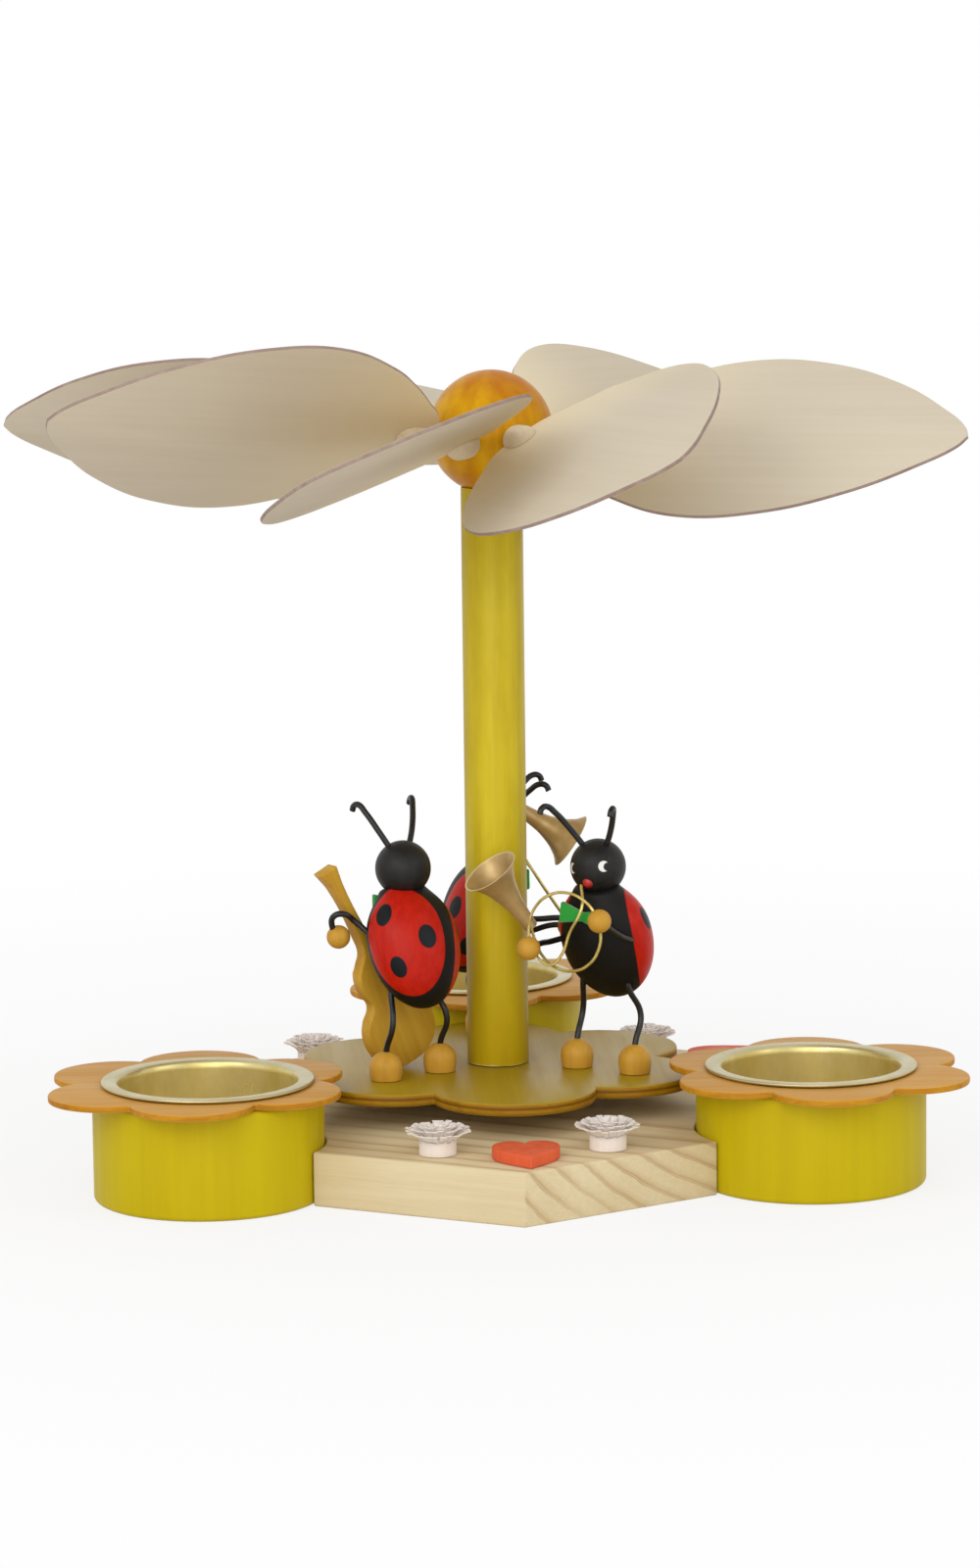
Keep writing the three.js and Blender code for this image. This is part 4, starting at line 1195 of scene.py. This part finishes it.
def settle_bell(name, start, end, mouth, player):
    """A flared bell from one point to another, its wall thin and its throat stopped."""
    length = (end - start).length
    outside = [(bell_throat + (mouth - bell_throat) * wide, length * far) for wide, far in bell_shares]
    inside = [(radius - bell_wall, height) for radius, height in reversed(outside[1:])]
    inside = [(radius, height) for radius, height in inside if height > bell_stop * length]
    blank = turn_on_lathe([(0, 0)] + outside + inside + [(0, bell_stop * length)], 40)
    blank.data.materials.append(bell_gold)
    aimed = moved(start) @ (end - start).to_track_quat("Z", "Y").to_matrix().to_4x4()
    bell = placed_copy(blank, player @ aimed, Matrix.Diagonal((1, 1, 1 / length, 1)))
    discard(blank)
    settle(bell, name, "rotor", "gold_painted_metal")


player = figure_places["horn_player"]
coil_middle = at_shares([coil_share])[0]
throat, mouth = at_shares(horn_bell)
points = at_shares(horn_pipe)
for stop in range(coil_stops + 1):
    angle = radians(coil_start + coil_sweep * stop / coil_stops)
    points.append(coil_middle + Vector((coil_radius * cos(angle), coil_pitch * (0.5 - stop / coil_stops),
                                        coil_radius * sin(angle))))
pipe = bent_wire(points + [throat], 6, 3, pipe_radius, brass_wire, player)
settle(pipe, "horn_pipe", "rotor", "gold_painted_metal", "horn_player_instrument")
settle_bell("horn_bell", throat, mouth, horn_mouth, player)

# Trombone
# Its slide is a brass wire from the lips down and back past the head, and its bell is like the horn's.
slide_shares = [(0, 0.4, 0.936), (0, 0.66, 0.74), (0, 0.93, 0.55), (0.06, 0.965, 0.524), (0.13, 0.93, 0.55),
                (0.2, 0.66, 0.74), (0.29, 0.45, 0.89), (0.37, 0.16, 1.06), (0.375, 0.09, 1.16),
                (0.34, 0.21, 1.215), (0.31, 0.37, 1.17)]
trombone_aim = Vector((0, 0.83, -0.55)).normalized()
trombone_bell_length = 13.9 * mm
trombone_mouth = 6.7 * mm
player = figure_places["trombonist"]
points = at_shares(slide_shares)
slide = bent_wire(points, 8, 3, pipe_radius, brass_wire, player)
settle(slide, "trombone_slide", "rotor", "gold_painted_metal", "trombonist_instrument")
bell_end = points[-1] + trombone_aim * trombone_bell_length
settle_bell("trombone_bell", points[-1], bell_end, trombone_mouth, player)
